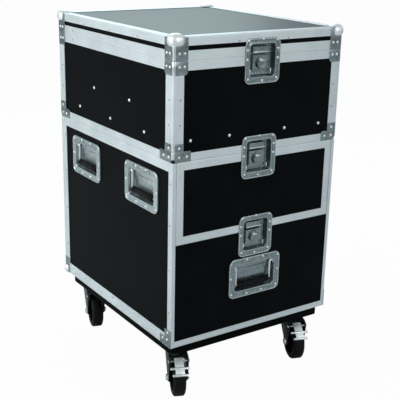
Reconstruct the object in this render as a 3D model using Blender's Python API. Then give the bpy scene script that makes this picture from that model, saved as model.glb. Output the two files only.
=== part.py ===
"""Wheeled flight case: a hinged lid over an upper compartment, and two drawers held by turn latches.

The origin is on the floor under the middle of the case, +Z is up and the drawers face -Y.
Sizes are in metres. Each piece is one closed solid, and a moving piece hangs on its own axis.
"""

import math

import bmesh
import bpy
from mathutils import Matrix, Vector

MM = 0.001

# Case, measured over the aluminium edging, from the base up
CASE_W = 530 * MM
CASE_D = 636 * MM
DRAWER_2_H = 269.7 * MM
DRAWER_1_H = 218.7 * MM
UPPER_H = 249.4 * MM
LID_H = 57.8 * MM
PANEL_T = 9 * MM
BASE_T = 15 * MM
BASE_LIP = 0.5 * MM
GAP = 0.3 * MM

# Aluminium edging
ANGLE_T = 1.5 * MM
RETURN_LEG = 18 * MM
POST_LOW_SIDE = 19 * MM
POST_REAR = 32 * MM
POST_UP_FRONT = 30 * MM
POST_UP_SIDE = 36 * MM
BOTTOM_EDGE_H = 33.9 * MM
TOP_EDGE_H = 25.3 * MM
UPPER_EDGE_H = 20.9 * MM
FRAME_W = 21.5 * MM
LID_EDGE_H = 22.5 * MM
LID_EDGE_TOP = 22 * MM
RIM_H = 24 * MM
RIM_WEB = 10 * MM
TONGUE_W = 3 * MM
TONGUE_H = 3 * MM
GROOVE_CLEAR = 0.6 * MM

# Corner plates and ball corners
BRACE_T = 1.5 * MM
BITE = 0.5 * MM
BRACE_REACH = 40 * MM
LID_BRACE_H = 42 * MM
RIM_BRACE_LOW = 33 * MM
RIM_BRACE_TOP = 3 * MM
FOOT_BRACE_FRONT = 52 * MM
FOOT_BRACE_SIDE = 60 * MM
FOOT_BRACE_H = 27 * MM
FOOT_BRACE_RISE = 47 * MM
TOE_BRACE_REACH = 53 * MM
TOE_BRACE_H = 25 * MM
TOE_BRACE_RISE = 50 * MM
BALL_R = 20 * MM
BALL_OUT = 6 * MM

# Castors and the board that carries them
CASTOR_H = 135 * MM
BOARD_T = 30 * MM
BOARD_INSET = 13 * MM
BOARD_LEFT_R = 30 * MM
BOARD_RIGHT_R = 8 * MM
CASTOR_SIDE_IN = 48 * MM
CASTOR_END_IN = 56 * MM
CASTOR_TURN = {"front_left": -24, "front_right": -20, "rear_left": -17, "rear_right": -170}
PLATE_W = 84 * MM
PLATE_L = 100 * MM
PLATE_T = 3 * MM
RACE_R = 34 * MM
RACE_H = 7 * MM
CROWN_T = 8 * MM
CROWN_BACK = 34 * MM
CROWN_FRONT = 40 * MM
WHEEL_R = 53 * MM
WHEEL_W = 38 * MM
TYRE_SHOULDER = 9.5 * MM
HUB_R = 15 * MM
TRAIL = 35 * MM
AXLE_R = 5 * MM
BOLT_HEAD_R = 9 * MM
BOLT_HEAD_H = 5 * MM
ARM_T = 3 * MM
ARM_R = 12 * MM
ARM_CLEAR = 6.5 * MM
BRAKE_CLEAR = 5.5 * MM
BRAKE_T = 3 * MM
PEDAL_W = 24.6 * MM
PEDAL_REST_W = 54 * MM
PEDAL_END_W = 47.6 * MM
PEDAL_BAR_R = 2.5 * MM
PEDAL_PIN_R = 3 * MM
PIVOT_ANGLE = 72

# Pressed dishes, shared by the handles and the latches
PROUD = 1.5 * MM
SHEET = 1.2 * MM
POCKET_D = 18 * MM

# Recessed handles
HANDLE_W = 172 * MM
HANDLE_H = 114 * MM
HANDLE_R = 18 * MM
HANDLE_POCKET_W = 133 * MM
HANDLE_POCKET_H = 75 * MM
HANDLE_POCKET_R = 3.5 * MM
SIDE_HANDLE_DROP = 98.7 * MM
SIDE_HANDLE_SPREAD = 159 * MM
SIDE_HANDLE_SHIFT = -4 * MM
FRONT_HANDLE_X = 2.5 * MM
FRONT_HANDLE_DROP = 132.5 * MM
WIRE_R = 3.5 * MM
GRIP_R = 8.5 * MM
GRIP_L = 102 * MM
BAIL_ARM_IN = 5 * MM
PIVOT_RISE = 30 * MM
BAIL_DROP = 52 * MM

# Turn latches
LATCH_W = 112 * MM
LATCH_UP = 43 * MM
LATCH_DOWN = 73 * MM
LATCH_R = 16 * MM
LATCH_POCKET_W = 80 * MM
LATCH_POCKET_UP = 28 * MM
LATCH_POCKET_DOWN = 55 * MM
LATCH_POCKET_R = 8 * MM
BRIDGE_W = 52 * MM
BRIDGE_T = 2 * MM
BRIDGE_DEPTH = 8 * MM
BRIDGE_TOP = 1.5 * MM
BRIDGE_LOW = 36 * MM
KEEPER_TOP = 20 * MM
SPINDLE_DROP = 18 * MM
SPINDLE_R = 12 * MM
SPINDLE_FLANGE_R = 15 * MM
SPINDLE_FLANGE_T = 1.5 * MM
CAM_R = 1.5 * MM
CAM_THROW = 4.5 * MM
CAM_SLACK = 1.25 * MM
HINGE_RISE = 4 * MM
WING_DEPTH = 2.5 * MM
WING_T = 2 * MM
WING_NECK = 8 * MM
WING_HALF = 11 * MM
WING_L = 33 * MM
EAR_T = 2.7 * MM
EAR_R = 2.5 * MM
HOOK_T = 2 * MM
HOOK_DEPTH = 14.8 * MM
HOOK_L = 43.5 * MM
HOOK_SEAM_GAP = 0.5 * MM

# Drawers and their runners
DRAWER_CLEAR = 0.8 * MM
DRAWER_BACK_ROOM = 54.1 * MM
DRAWER_HEAD = 16 * MM
DRAWER_FOOT = 6 * MM
RUNNER_SPACE = 13 * MM
RUNNER_T = 1.5 * MM
RUNNER_H = 45 * MM
RUNNER_LIP = 11 * MM
RUNNER_FOOT = 10 * MM
RUNNER_STRAP = 25 * MM

# Lid hinge
HINGE_END = 50 * MM
HINGE_LEAF_H = 22 * MM
HINGE_LEAF_T = 1.5 * MM
KNUCKLE_R = 2.8 * MM
KNUCKLE_COUNT = 5
PIN_R = 1.2 * MM

# Levels and planes that follow from the sizes above
HALF_W = CASE_W / 2
HALF_D = CASE_D / 2
FRONT_Y = -HALF_D
INSET = ANGLE_T + GAP
INNER = INSET + PANEL_T
BASE_EDGE_H = INSET + BASE_T + BASE_LIP
BODY_Z = CASTOR_H + BOARD_T
DRAWER_2_Z = BODY_Z + BASE_EDGE_H
DRAWER_1_Z = DRAWER_2_Z + DRAWER_2_H
UPPER_Z = DRAWER_1_Z + DRAWER_1_H
LID_Z = UPPER_Z + UPPER_H
TOP_Z = LID_Z + LID_H
FACE_Y = FRONT_Y + INSET
FLANGE_T = INSET + PROUD - GAP
FRONT_HALF = HALF_W - INNER - DRAWER_CLEAR
LATCH_NOTCH = LATCH_POCKET_W / 2 + SHEET + GAP
RIM_D = INNER + GAP + ANGLE_T
DRAWER_BACK = HALF_D - INNER - DRAWER_BACK_ROOM
BOARD_HALF_W = HALF_W - BOARD_INSET
BOARD_HALF_D = HALF_D - BOARD_INSET
CASTOR_X = BOARD_HALF_W - CASTOR_SIDE_IN
CASTOR_Y = BOARD_HALF_D - CASTOR_END_IN
HINGE_HALF = HALF_W - HINGE_END
SEAMS = {1: LID_Z, 2: UPPER_Z, 3: DRAWER_1_Z}

# Finishes: colour, roughness, metallic
LAMINATE = ((0.012, 0.014, 0.017), 0.62, 0.0)
GREY_SHEET = ((0.33, 0.43, 0.46), 0.45, 0.3)
PLYWOOD = ((0.47, 0.33, 0.19), 0.7, 0.0)
ALUMINIUM = ((0.62, 0.68, 0.7), 0.35, 1.0)
ZINC = ((0.45, 0.5, 0.52), 0.3, 1.0)
RUBBER = ((0.015, 0.015, 0.016), 0.75, 0.0)
PAINTED = ((0.008, 0.008, 0.009), 0.55, 0.0)


def stack(rings, loop=False):
    """A closed skin through rings of equal point counts, capped at its ends or joined in a loop."""
    shape = bmesh.new()
    rows = [[shape.verts.new(point) for point in ring] for ring in rings]
    pairs = list(zip(rows, rows[1:]))
    if loop:
        pairs.append((rows[-1], rows[0]))
    else:
        shape.faces.new(rows[0])
        shape.faces.new(rows[-1])
    for near, far in pairs:
        for k in range(len(near)):
            n = (k + 1) % len(near)
            shape.faces.new((near[k], near[n], far[n], far[k]))
    bmesh.ops.recalc_face_normals(shape, faces=shape.faces)
    return shape


def along(axis, a, b, c):
    """The point that is c along the axis, with a and b on the two other axes in order."""
    return {"X": (c, a, b), "Y": (a, c, b), "Z": (a, b, c)}[axis]


def prism(outline, axis, low, high):
    """An outline carried along an axis from low to high."""
    return stack([[along(axis, a, b, c) for a, b in outline] for c in (low, high)])


def block(low, high):
    """A cuboid between two opposite corners."""
    (x, y, z), (far_x, far_y, far_z) = low, high
    return prism([(x, y), (far_x, y), (far_x, far_y), (x, far_y)], "Z", z, far_z)


def circle(radius, sides, middle=(0, 0)):
    """A regular outline with a flat at the bottom, whose flats touch the circle."""
    reach = radius / math.cos(math.pi / sides)
    steps = [2 * math.pi * (k + 0.5) / sides for k in range(sides)]
    return [(middle[0] + reach * math.sin(t), middle[1] - reach * math.cos(t)) for t in steps]


def turned(profile, axis, sides, middle=(0, 0), bored=False):
    """A turned piece from (radius, place along the axis) pairs; a bored one closes on itself."""
    rings = [[along(axis, a, b, c) for a, b in circle(r, sides, middle)] for r, c in profile]
    return stack(rings, loop=bored)


def rounded(low, high, radius, steps=3):
    """A rectangle between two corners with round corners."""
    outline = []
    corners = ((high[0], high[1]), (low[0], high[1]), (low[0], low[1]), (high[0], low[1]))
    for k, (a, b) in enumerate(corners):
        centre_a = a - radius if a == high[0] else a + radius
        centre_b = b - radius if b == high[1] else b + radius
        for step in range(steps + 1):
            t = math.pi / 2 * (k + step / steps)
            outline.append((centre_a + radius * math.cos(t), centre_b + radius * math.sin(t)))
    return outline


def wire(path, radius, sides=8):
    """A round bar bent along a path in the XZ plane, with mitred bends."""
    rings = []
    for k, point in enumerate(path):
        before = Vector(path[max(k - 1, 0)])
        after = Vector(path[min(k + 1, len(path) - 1)])
        here = Vector(point)
        ways = [way.normalized() for way in (here - before, after - here) if way.length > 0]
        way = (ways[0] + ways[-1]).normalized()
        across = Vector((-way.y, way.x)) * radius / way.dot(ways[0])
        ring = []
        for a, b in circle(1, sides):
            side = here + across * a
            ring.append((side.x, radius * b, side.y))
        rings.append(ring)
    return stack(rings)


def frame(section, half_a, half_b, opening=None, sides="front right back left"):
    """A mitred frame whose section is (inward, level) pairs, on a rectangle about the middle.

    An opening of a given half width breaks the front side, and a frame on fewer sides ends square.
    """
    front_right = ((half_a, -half_b), (-1, 1))
    back_right = ((half_a, half_b), (-1, -1))
    back_left = ((-half_a, half_b), (1, -1))
    front_left = ((-half_a, -half_b), (1, 1))
    corners = [front_right, back_right, back_left, front_left]
    if sides == "right back left":
        corners[0] = ((half_a, -half_b), (-1, 0))
        corners[3] = ((-half_a, -half_b), (1, 0))
    if opening:
        corners.insert(0, ((opening, -half_b), (0, 1)))
        corners.append(((-opening, -half_b), (0, 1)))
    rings = []
    for place, inward in corners:
        ring = [(place[0] + a * inward[0], place[1] + a * inward[1], b) for a, b in section]
        rings.append(ring)
    return stack(rings, loop=len(corners) == 4 and sides != "right back left")


def moved(shape, *, by=(0, 0, 0), turn=None):
    """The shape turned about the origin, then moved."""
    matrix = Matrix.Translation(by)
    if turn:
        matrix = matrix @ turn
    bmesh.ops.transform(shape, matrix=matrix, verts=shape.verts)
    return shape


def as_object(name, shape, at=(0, 0, 0), turn=0):
    """A mesh object with its round faces smooth, turned about its own Z axis by some degrees."""
    mesh = bpy.data.meshes.new(name)
    shape.to_mesh(mesh)
    shape.free()
    mesh.shade_smooth()
    mesh.set_sharp_from_angle(angle=math.radians(40))
    item = bpy.data.objects.new(name, mesh)
    item.location = at
    item.rotation_euler.z = math.radians(turn)
    bpy.context.scene.collection.objects.link(item)
    return item


def combine(item, operation, shapes):
    """Joins shapes to an object or cuts them out of it, keeping them as hidden guides."""
    guides = bpy.data.collections.new(f"{item.name} {operation.lower()}")
    bpy.context.scene.collection.children.link(guides)
    for shape in shapes:
        guide = shape
        if isinstance(shape, bmesh.types.BMesh):
            guide = as_object(f"guide_{item.name}", shape)
        bpy.context.scene.collection.objects.unlink(guide)
        guides.objects.link(guide)
        guide.parent = item
        guide.hide_render = True
        guide.display_type = "WIRE"
    modifier = item.modifiers.new(operation.title(), "BOOLEAN")
    modifier.operation = operation
    modifier.operand_type = "COLLECTION"
    modifier.collection = guides
    modifier.solver = "EXACT"


def piece(name, finish, shapes, cuts=(), at=(0, 0, 0), turn=0, parent=None):
    """One named solid: its shapes joined, less its cuts, in its own material."""
    item = as_object(name, shapes[0], at, turn)
    if len(shapes) > 1:
        combine(item, "UNION", shapes[1:])
    if cuts:
        combine(item, "DIFFERENCE", cuts)
    colour, roughness, metallic = finish
    material = bpy.data.materials.new(name)
    material.use_nodes = True
    shader = material.node_tree.nodes["Principled BSDF"]
    shader.inputs["Base Color"].default_value = (*colour, 1)
    shader.inputs["Roughness"].default_value = roughness
    shader.inputs["Metallic"].default_value = metallic
    item.data.materials.append(material)
    if parent:
        hang(item, parent)
    return item


def hang(item, parent):
    """Parents an item while it stays where it is."""
    bpy.context.view_layer.update()
    item.parent = parent
    item.matrix_parent_inverse = parent.matrix_world.inverted()


def axis_point(name, at):
    """An empty on a joint's axis."""
    item = bpy.data.objects.new(name, None)
    item.location = at
    bpy.context.scene.collection.objects.link(item)
    return item


def depth(d):
    """The Y of a point d behind the front of the front flanges."""
    return FRONT_Y - PROUD + d


# Edging and corner plates


def angle_section(face_leg, hidden_leg, base, up):
    """An L on its outer face, with the hidden leg at the base level and the face leg going up or down."""
    face_end, inner = base + up * face_leg, base + up * ANGLE_T
    return [
        (0, base),
        (hidden_leg, base),
        (hidden_leg, inner),
        (ANGLE_T, inner),
        (ANGLE_T, face_end),
        (0, face_end),
    ]


def corner_angle(sx, sy, front_leg, side_leg, low, high, outer=0, inner=ANGLE_T):
    """An upright angle on one corner of the case; outer and inner are its faces, inward of the case."""
    inward = [
        (outer, outer),
        (front_leg, outer),
        (front_leg, inner),
        (inner, inner),
        (inner, side_leg),
        (outer, side_leg),
    ]
    outline = [(sx * (HALF_W - a), sy * (HALF_D - b)) for a, b in inward]
    return prism(outline, "Z", low, high)


def plate(sx, sy, reach_x, reach_y, low, high, stand_off):
    """A folded corner plate that stands off the case faces, or bites into the edging if negative."""
    return corner_angle(sx, sy, reach_x, reach_y, low, high, outer=-BRACE_T, inner=-stand_off)


def ball_corner(sx, sy, level, up):
    """The domed part of a ball corner, hollow where it sits on the corner of the case."""
    inside = BALL_R - (BALL_R - BALL_OUT) + (BALL_R - 2 * BALL_OUT)
    middle = Vector((sx * (HALF_W - inside), sy * (HALF_D - inside), level - up * inside))
    dome = bmesh.new()
    bmesh.ops.create_uvsphere(dome, u_segments=16, v_segments=10, radius=BALL_R)
    moved(dome, by=middle)
    ball = as_object("guide_ball_corner", dome)
    reach = 3 * BALL_R
    far = level - up * BITE if up > 0 else level - reach
    near = level - reach if up > 0 else level + reach
    core = block(
        (-HALF_W + BITE, -HALF_D + BITE, min(far, near)),
        (HALF_W - BITE, HALF_D - BITE, max(far, near)),
    )
    combine(ball, "DIFFERENCE", [core])
    return ball


def both(function, *args):
    """The same shape on the left and on the right."""
    return [function(sx, *args) for sx in (-1, 1)]


def lower_edging():
    top = UPPER_Z - GAP
    hidden = angle_section(BOTTOM_EDGE_H, RETURN_LEG, BODY_Z, 1)
    shapes = [frame(hidden, HALF_W, HALF_D, sides="right back left")]
    front = [(FRONT_Y + a, b) for a, b in angle_section(BASE_EDGE_H, RETURN_LEG, BODY_Z, 1)]
    shapes.append(prism(front, "X", -HALF_W, HALF_W))
    over = angle_section(TOP_EDGE_H, INNER, top, -1)
    shapes.append(frame(over, HALF_W, HALF_D, sides="right back left"))
    shapes += both(corner_angle, -1, INNER, POST_LOW_SIDE, BODY_Z, top)
    shapes += both(corner_angle, 1, POST_UP_FRONT, POST_REAR, BODY_Z, top)
    for sx in (-1, 1):
        for reach, high in ((TOE_BRACE_REACH, TOE_BRACE_H), (POST_UP_FRONT, TOE_BRACE_RISE)):
            ends = [sx * (HALF_W + BRACE_T), sx * (HALF_W - BITE)]
            low = (min(ends), FRONT_Y, BODY_Z)
            shapes.append(block(low, (max(ends), FRONT_Y + reach, BODY_Z + high)))
        shapes.append(ball_corner(sx, 1, BODY_Z, -1))
        reach = POST_UP_FRONT
        shapes.append(plate(sx, 1, reach, reach, BODY_Z, BODY_Z + TOE_BRACE_RISE, -BITE))
    piece("lower_edging", ALUMINIUM, shapes)


def upper_edging():
    top = LID_Z - RIM_H - GAP
    base = angle_section(UPPER_EDGE_H, RETURN_LEG, UPPER_Z, 1)
    shapes = [frame(base, HALF_W, HALF_D, opening=LATCH_W / 2 + GAP)]
    shapes += both(corner_angle, -1, POST_UP_FRONT, POST_UP_SIDE, UPPER_Z, top)
    shapes += both(corner_angle, 1, POST_UP_FRONT, POST_REAR, UPPER_Z, top)
    for sy in (-1, 1):
        feet = (FOOT_BRACE_FRONT, FOOT_BRACE_SIDE, UPPER_Z, UPPER_Z + FOOT_BRACE_H, -BITE)
        legs = (POST_UP_FRONT, POST_UP_FRONT, UPPER_Z, UPPER_Z + FOOT_BRACE_RISE, -BITE)
        low = LID_Z - RIM_BRACE_LOW
        rim = (BRACE_REACH, BRACE_REACH, low, LID_Z - RIM_BRACE_TOP, GAP)
        hold = (BRACE_REACH, BRACE_REACH, low, top, -BITE)
        for sizes in (feet, legs, rim, hold):
            shapes += both(plate, sy, *sizes)
    piece("upper_edging", ALUMINIUM, shapes)


def lid_edging(lid_axis):
    section = angle_section(LID_EDGE_H, LID_EDGE_TOP, TOP_Z, -1)
    shapes = [frame(section, HALF_W, HALF_D)]
    edge = TOP_Z - LID_EDGE_H
    high = LID_Z + LID_BRACE_H
    for sy in (-1, 1):
        shapes += both(plate, sy, BRACE_REACH, BRACE_REACH, LID_Z + BITE, high, GAP)
        shapes += both(plate, sy, BRACE_REACH, BRACE_REACH, edge + GAP, high, -BITE)
        shapes += both(ball_corner, sy, TOP_Z, 1)
    half = LATCH_W / 2 + GAP
    notch = block(
        (-half, FRONT_Y - BRACE_T, LID_Z), (half, FRONT_Y + INSET, LID_Z + LATCH_UP + GAP)
    )
    piece("lid_edging", ALUMINIUM, shapes, [notch], parent=lid_axis)


def rims(lid_axis):
    """The two mating rims: a tongue on the case and a groove in the lid, open at the front latch."""
    split = GAP / 2
    mid = INNER / 2
    tongue = (mid - TONGUE_W / 2, mid + TONGUE_W / 2)
    groove = (tongue[0] - GROOVE_CLEAR, tongue[1] + GROOVE_CLEAR)
    slot = (ANGLE_T, INNER + GAP)
    case = [(0, -RIM_H), (slot[0], -RIM_H), (slot[0], -RIM_WEB), (slot[1], -RIM_WEB)]
    case += [(slot[1], -RIM_H), (RIM_D, -RIM_H), (RIM_D, -split), (tongue[1], -split)]
    case += [(tongue[1], TONGUE_H), (tongue[0], TONGUE_H), (tongue[0], -split), (0, -split)]
    lid = [(0, RIM_H), (slot[0], RIM_H), (slot[0], RIM_WEB), (slot[1], RIM_WEB)]
    lid += [(slot[1], RIM_H), (RIM_D, RIM_H), (RIM_D, split), (groove[1], split)]
    deep = TONGUE_H + GROOVE_CLEAR
    lid += [(groove[1], deep), (groove[0], deep), (groove[0], split), (0, split)]
    half = LATCH_W / 2 + GAP
    for name, section, parent in (("case_rim", case, None), ("lid_rim", lid, lid_axis)):
        section = [(a, LID_Z + b) for a, b in section]
        piece(name, ALUMINIUM, [frame(section, HALF_W, HALF_D, opening=half)], parent=parent)


# Panels


def wall(low, high):
    """The section of a panel ring between two levels, inside the edging."""
    return [(INSET, low), (INNER, low), (INNER, high), (INSET, high)]


def latch_hole(seam, above):
    """The hole that a latch pocket needs in the front panel above or below a seam."""
    reach = (LATCH_POCKET_UP if above else LATCH_POCKET_DOWN) + SHEET + GAP
    low, high = (seam - PANEL_T, seam + reach) if above else (seam - reach, seam + PANEL_T)
    return block((-LATCH_NOTCH, FRONT_Y, low), (LATCH_NOTCH, depth(0) + POCKET_D + RIM_D, high))


def handle_hole(side, at):
    """The hole that a handle pocket needs in a panel."""
    half_a = HANDLE_POCKET_W / 2 + SHEET + GAP
    half_b = HANDLE_POCKET_H / 2 + SHEET + GAP
    hole = block((-half_a, -PANEL_T, -half_b), (half_a, 2 * PANEL_T, half_b))
    return moved(hole, by=at, turn=Matrix.Rotation(side, 4, "Z"))


FRONT, RIGHT, LEFT = 0, math.pi / 2, -math.pi / 2


def side_handles():
    """Name, side and middle of each side handle, on the face of the laminate."""
    places = []
    for name, side, sx in (("left", LEFT, -1), ("right", RIGHT, 1)):
        for end, sy in (("front", -1), ("rear", 1)):
            y = SIDE_HANDLE_SHIFT + sy * SIDE_HANDLE_SPREAD
            at = Vector((sx * (HALF_W - INSET), y, UPPER_Z - SIDE_HANDLE_DROP))
            places.append((f"{name}_{end}", side, at))
    return places


def front_handle():
    return Vector((FRONT_HANDLE_X, FACE_Y, DRAWER_1_Z - FRONT_HANDLE_DROP))


def panels(lid_axis):
    low, top = BODY_Z + INSET, UPPER_Z - GAP - INSET
    walls = frame(wall(low, top), HALF_W, HALF_D, sides="right back left")
    inside = HALF_W - INNER + BITE
    base = block((-inside, FACE_Y, low), (inside, HALF_D - INNER + BITE, low + BASE_T))
    trim = block((-HALF_W, FRONT_Y - INSET, low), (HALF_W, FACE_Y, top))
    holes = [handle_hole(side, at) for _, side, at in side_handles()]
    piece("lower_box", LAMINATE, [walls, base], [trim, *holes])

    half_w, half_d = HALF_W - INNER - GAP, HALF_D - INNER - GAP
    low = UPPER_Z + INSET
    divider = block((-half_w, -half_d, low), (half_w, half_d, low + PANEL_T))
    piece("divider_panel", PLYWOOD, [divider], [latch_hole(UPPER_Z, True)])

    walls = frame(wall(low, LID_Z - RIM_WEB - GAP), HALF_W, HALF_D)
    piece("upper_box", LAMINATE, [walls], [latch_hole(UPPER_Z, True), latch_hole(LID_Z, False)])

    under = TOP_Z - INSET - PANEL_T
    walls = frame(wall(LID_Z + RIM_WEB + GAP, under - GAP), HALF_W, HALF_D)
    piece("lid_side_panels", LAMINATE, [walls], [latch_hole(LID_Z, True)], parent=lid_axis)
    half_w, half_d = HALF_W - INSET, HALF_D - INSET
    sheet = block((-half_w, -half_d, under), (half_w, half_d, TOP_Z - INSET))
    piece("lid_top_panel", GREY_SHEET, [sheet], parent=lid_axis)


# Hinge


def hinge_leaf(up):
    """One leaf of the long hinge, with every other knuckle; the case leaf also holds the pin."""
    y = HALF_D + GAP
    far = y + HINGE_LEAF_T
    clear = KNUCKLE_R + GAP + BITE
    levels = sorted((LID_Z + up * clear, LID_Z + up * HINGE_LEAF_H))
    shapes = [block((-HINGE_HALF, y, levels[0]), (HINGE_HALF, far, levels[1]))]
    length = 2 * HINGE_HALF / KNUCKLE_COUNT
    axis = (y + KNUCKLE_R, LID_Z)
    for k in range(0 if up < 0 else 1, KNUCKLE_COUNT, 2):
        start = -HINGE_HALF + k * length + GAP / 2
        end = start + length - GAP
        shapes.append(prism(circle(KNUCKLE_R, 12, axis), "X", start, end))
        neck = sorted((LID_Z, LID_Z + up * (clear + BITE)))
        shapes.append(block((start, y, neck[0]), (end, far, neck[1])))
    if up < 0:
        shapes.append(prism(circle(PIN_R, 12, axis), "X", -HINGE_HALF + GAP, HINGE_HALF - GAP))
        return shapes, []
    bore = prism(circle(PIN_R + GAP, 12, axis), "X", -2 * HINGE_HALF, 2 * HINGE_HALF)
    return shapes, [bore]


def hinge(lid_axis):
    for name, up, parent in (("case_hinge_leaf", -1, None), ("lid_hinge_leaf", 1, lid_axis)):
        shapes, cuts = hinge_leaf(up)
        piece(name, ZINC, shapes, cuts, parent=parent)


# Handles


def dish(low, high, radius, pocket_low, pocket_high, pocket_radius):
    """A pressed dish: a flange on the laminate and a pocket behind it. Local +Y points into the case."""
    front = -GAP - FLANGE_T
    walls = Vector((SHEET, SHEET))
    rim = rounded(low, high, radius)
    inner = rounded(pocket_low, pocket_high, pocket_radius)
    outside = Vector(pocket_low) - walls, Vector(pocket_high) + walls
    outer = rounded(*outside, pocket_radius + SHEET)
    levels = [(outer, POCKET_D), (outer, -GAP), (rim, -GAP), (rim, front), (inner, front)]
    levels.append((inner, POCKET_D - SHEET))
    return stack([[(a, y, b) for a, b in outline] for outline, y in levels])


def handle_dish(name, side, at, parent):
    half_w, half_h = HANDLE_W / 2, HANDLE_H / 2
    pocket = Vector((HANDLE_POCKET_W / 2, HANDLE_POCKET_H / 2))
    shape = dish(
        (-half_w, -half_h), (half_w, half_h), HANDLE_R, -pocket, pocket, HANDLE_POCKET_R
    )
    moved(shape, by=at, turn=Matrix.Rotation(side, 4, "Z"))
    piece(name, ZINC, [shape], parent=parent)


def bail(name, side, at, parent):
    """The sprung bail with its rubber grip, hanging from pins in the cheeks of the dish."""
    pin = HANDLE_POCKET_W / 2 - GAP
    arm = HANDLE_POCKET_W / 2 - BAIL_ARM_IN
    path = [(-pin, 0), (-arm, 0), (-arm, -BAIL_DROP), (arm, -BAIL_DROP), (arm, 0), (pin, 0)]
    grip = prism(circle(GRIP_R, 12, (0, -BAIL_DROP)), "X", -GRIP_L / 2, GRIP_L / 2)
    deep = -GAP - FLANGE_T + GAP + GRIP_R
    offset = Matrix.Rotation(side, 3, "Z") @ Vector((0, deep, PIVOT_RISE))
    turn = math.degrees(side)
    piece(name, RUBBER, [wire(path, WIRE_R), grip], at=at + offset, turn=turn, parent=parent)


def handles(drawer_2):
    for place, side, at in side_handles():
        handle_dish(f"handle_dish_{place}", side, at, None)
        bail(f"handle_{place}", side, at, None)
    handle_dish("handle_dish_drawer", FRONT, front_handle(), drawer_2)
    bail("handle_drawer", FRONT, front_handle(), drawer_2)


# Latches


def bridge(low, high):
    """A channel on the floor of a latch dish, its back open so that the hook plate slides inside."""
    half, inner = BRIDGE_W / 2, BRIDGE_W / 2 - BRIDGE_T
    front, floor = depth(BRIDGE_DEPTH), FACE_Y + POCKET_D - SHEET + BITE
    outline = [(-half, floor), (-half, front), (half, front), (half, floor), (inner, floor)]
    outline += [(inner, front + BRIDGE_T), (-inner, front + BRIDGE_T), (-inner, floor)]
    return prism(outline, "Z", low, high)


def half_dish(seam, above):
    """The part of a latch dish on one side of the seam, open at the seam."""
    half, pocket = LATCH_W / 2, LATCH_POCKET_W / 2
    shape = dish(
        (-half, -LATCH_DOWN),
        (half, LATCH_UP),
        LATCH_R,
        (-pocket, -LATCH_POCKET_DOWN),
        (pocket, LATCH_POCKET_UP),
        LATCH_POCKET_R,
    )
    moved(shape, by=(0, FACE_Y, seam))
    level = seam + (GAP / 2 if above else -GAP)
    bmesh.ops.bisect_plane(
        shape,
        geom=shape.verts[:] + shape.edges[:] + shape.faces[:],
        plane_co=(0, 0, level),
        plane_no=(0, 0, -1 if above else 1),
        clear_outer=True,
    )
    bmesh.ops.holes_fill(shape, edges=[edge for edge in shape.edges if edge.is_boundary])
    bmesh.ops.recalc_face_normals(shape, faces=shape.faces)
    return shape


def spindle(name, seam, parent):
    """The turning boss, with a cam pin behind it and two ears that carry the wing."""
    at = Vector((0, depth(0), seam - SPINDLE_DROP))
    head, bridge_back = WING_DEPTH + WING_T + GAP, BRIDGE_DEPTH + BRIDGE_T + GAP
    flange = bridge_back + SPINDLE_FLANGE_T
    profile = [(SPINDLE_R, head), (SPINDLE_R, bridge_back)]
    profile += [(SPINDLE_FLANGE_R, bridge_back), (SPINDLE_FLANGE_R, flange)]
    shapes = [turned(profile, "Y", 16)]
    cam_end = HOOK_DEPTH + HOOK_T
    cam = circle(CAM_R, 8, (0, -CAM_THROW))
    shapes.append(prism(cam, "Y", flange - BITE, cam_end))
    for sx in (-1, 1):
        near, far = sorted((sx * (WING_NECK + GAP), sx * (WING_NECK + GAP + EAR_T)))
        low = (near, WING_DEPTH - WING_T / 2, HINGE_RISE - EAR_R)
        shapes.append(block(low, (far, head + BITE, HINGE_RISE + EAR_R)))
    return piece(name, ZINC, shapes, at=at, parent=parent)


def wing(name, seam, parent):
    """The folding tongue, hung between the ears of the boss and lying flat over it."""
    at = Vector((0, depth(WING_DEPTH), seam - SPINDLE_DROP + HINGE_RISE))
    shoulder = -EAR_R - 2 * GAP
    outline = [(-WING_NECK, WING_T), (-WING_NECK, shoulder), (-WING_HALF, shoulder - EAR_R)]
    centre = -(WING_L - WING_HALF)
    for step in range(7):
        t = math.pi * (1 + step / 6)
        outline.append((WING_HALF * math.cos(t), centre + WING_HALF * math.sin(t)))
    outline += [(WING_HALF, shoulder - EAR_R), (WING_NECK, shoulder), (WING_NECK, WING_T)]
    shape = prism(outline, "Y", -WING_T / 2, WING_T / 2)
    piece(name, ZINC, [shape], at=at, parent=parent)


def hook(name, seam, parent):
    """The sliding plate that the cam pin lifts into the keeper, with a slot across it for the pin.

    The slot has slack over the pin, because the pin moves in a circle and the plate at an even rate.
    """
    at = Vector((0, depth(HOOK_DEPTH), seam - SPINDLE_DROP))
    half = BRIDGE_W / 2 - BRIDGE_T - GAP
    top = SPINDLE_DROP - HOOK_SEAM_GAP
    shape = block((-half, 0, top - HOOK_L), (half, HOOK_T, top))
    slot_a, slot_b = CAM_THROW + CAM_R + GAP, CAM_R + CAM_SLACK
    slot = block(
        (-slot_a, -HOOK_T, -CAM_THROW - slot_b), (slot_a, 2 * HOOK_T, -CAM_THROW + slot_b)
    )
    piece(name, ZINC, [shape], [slot], at=at, parent=parent)


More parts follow.
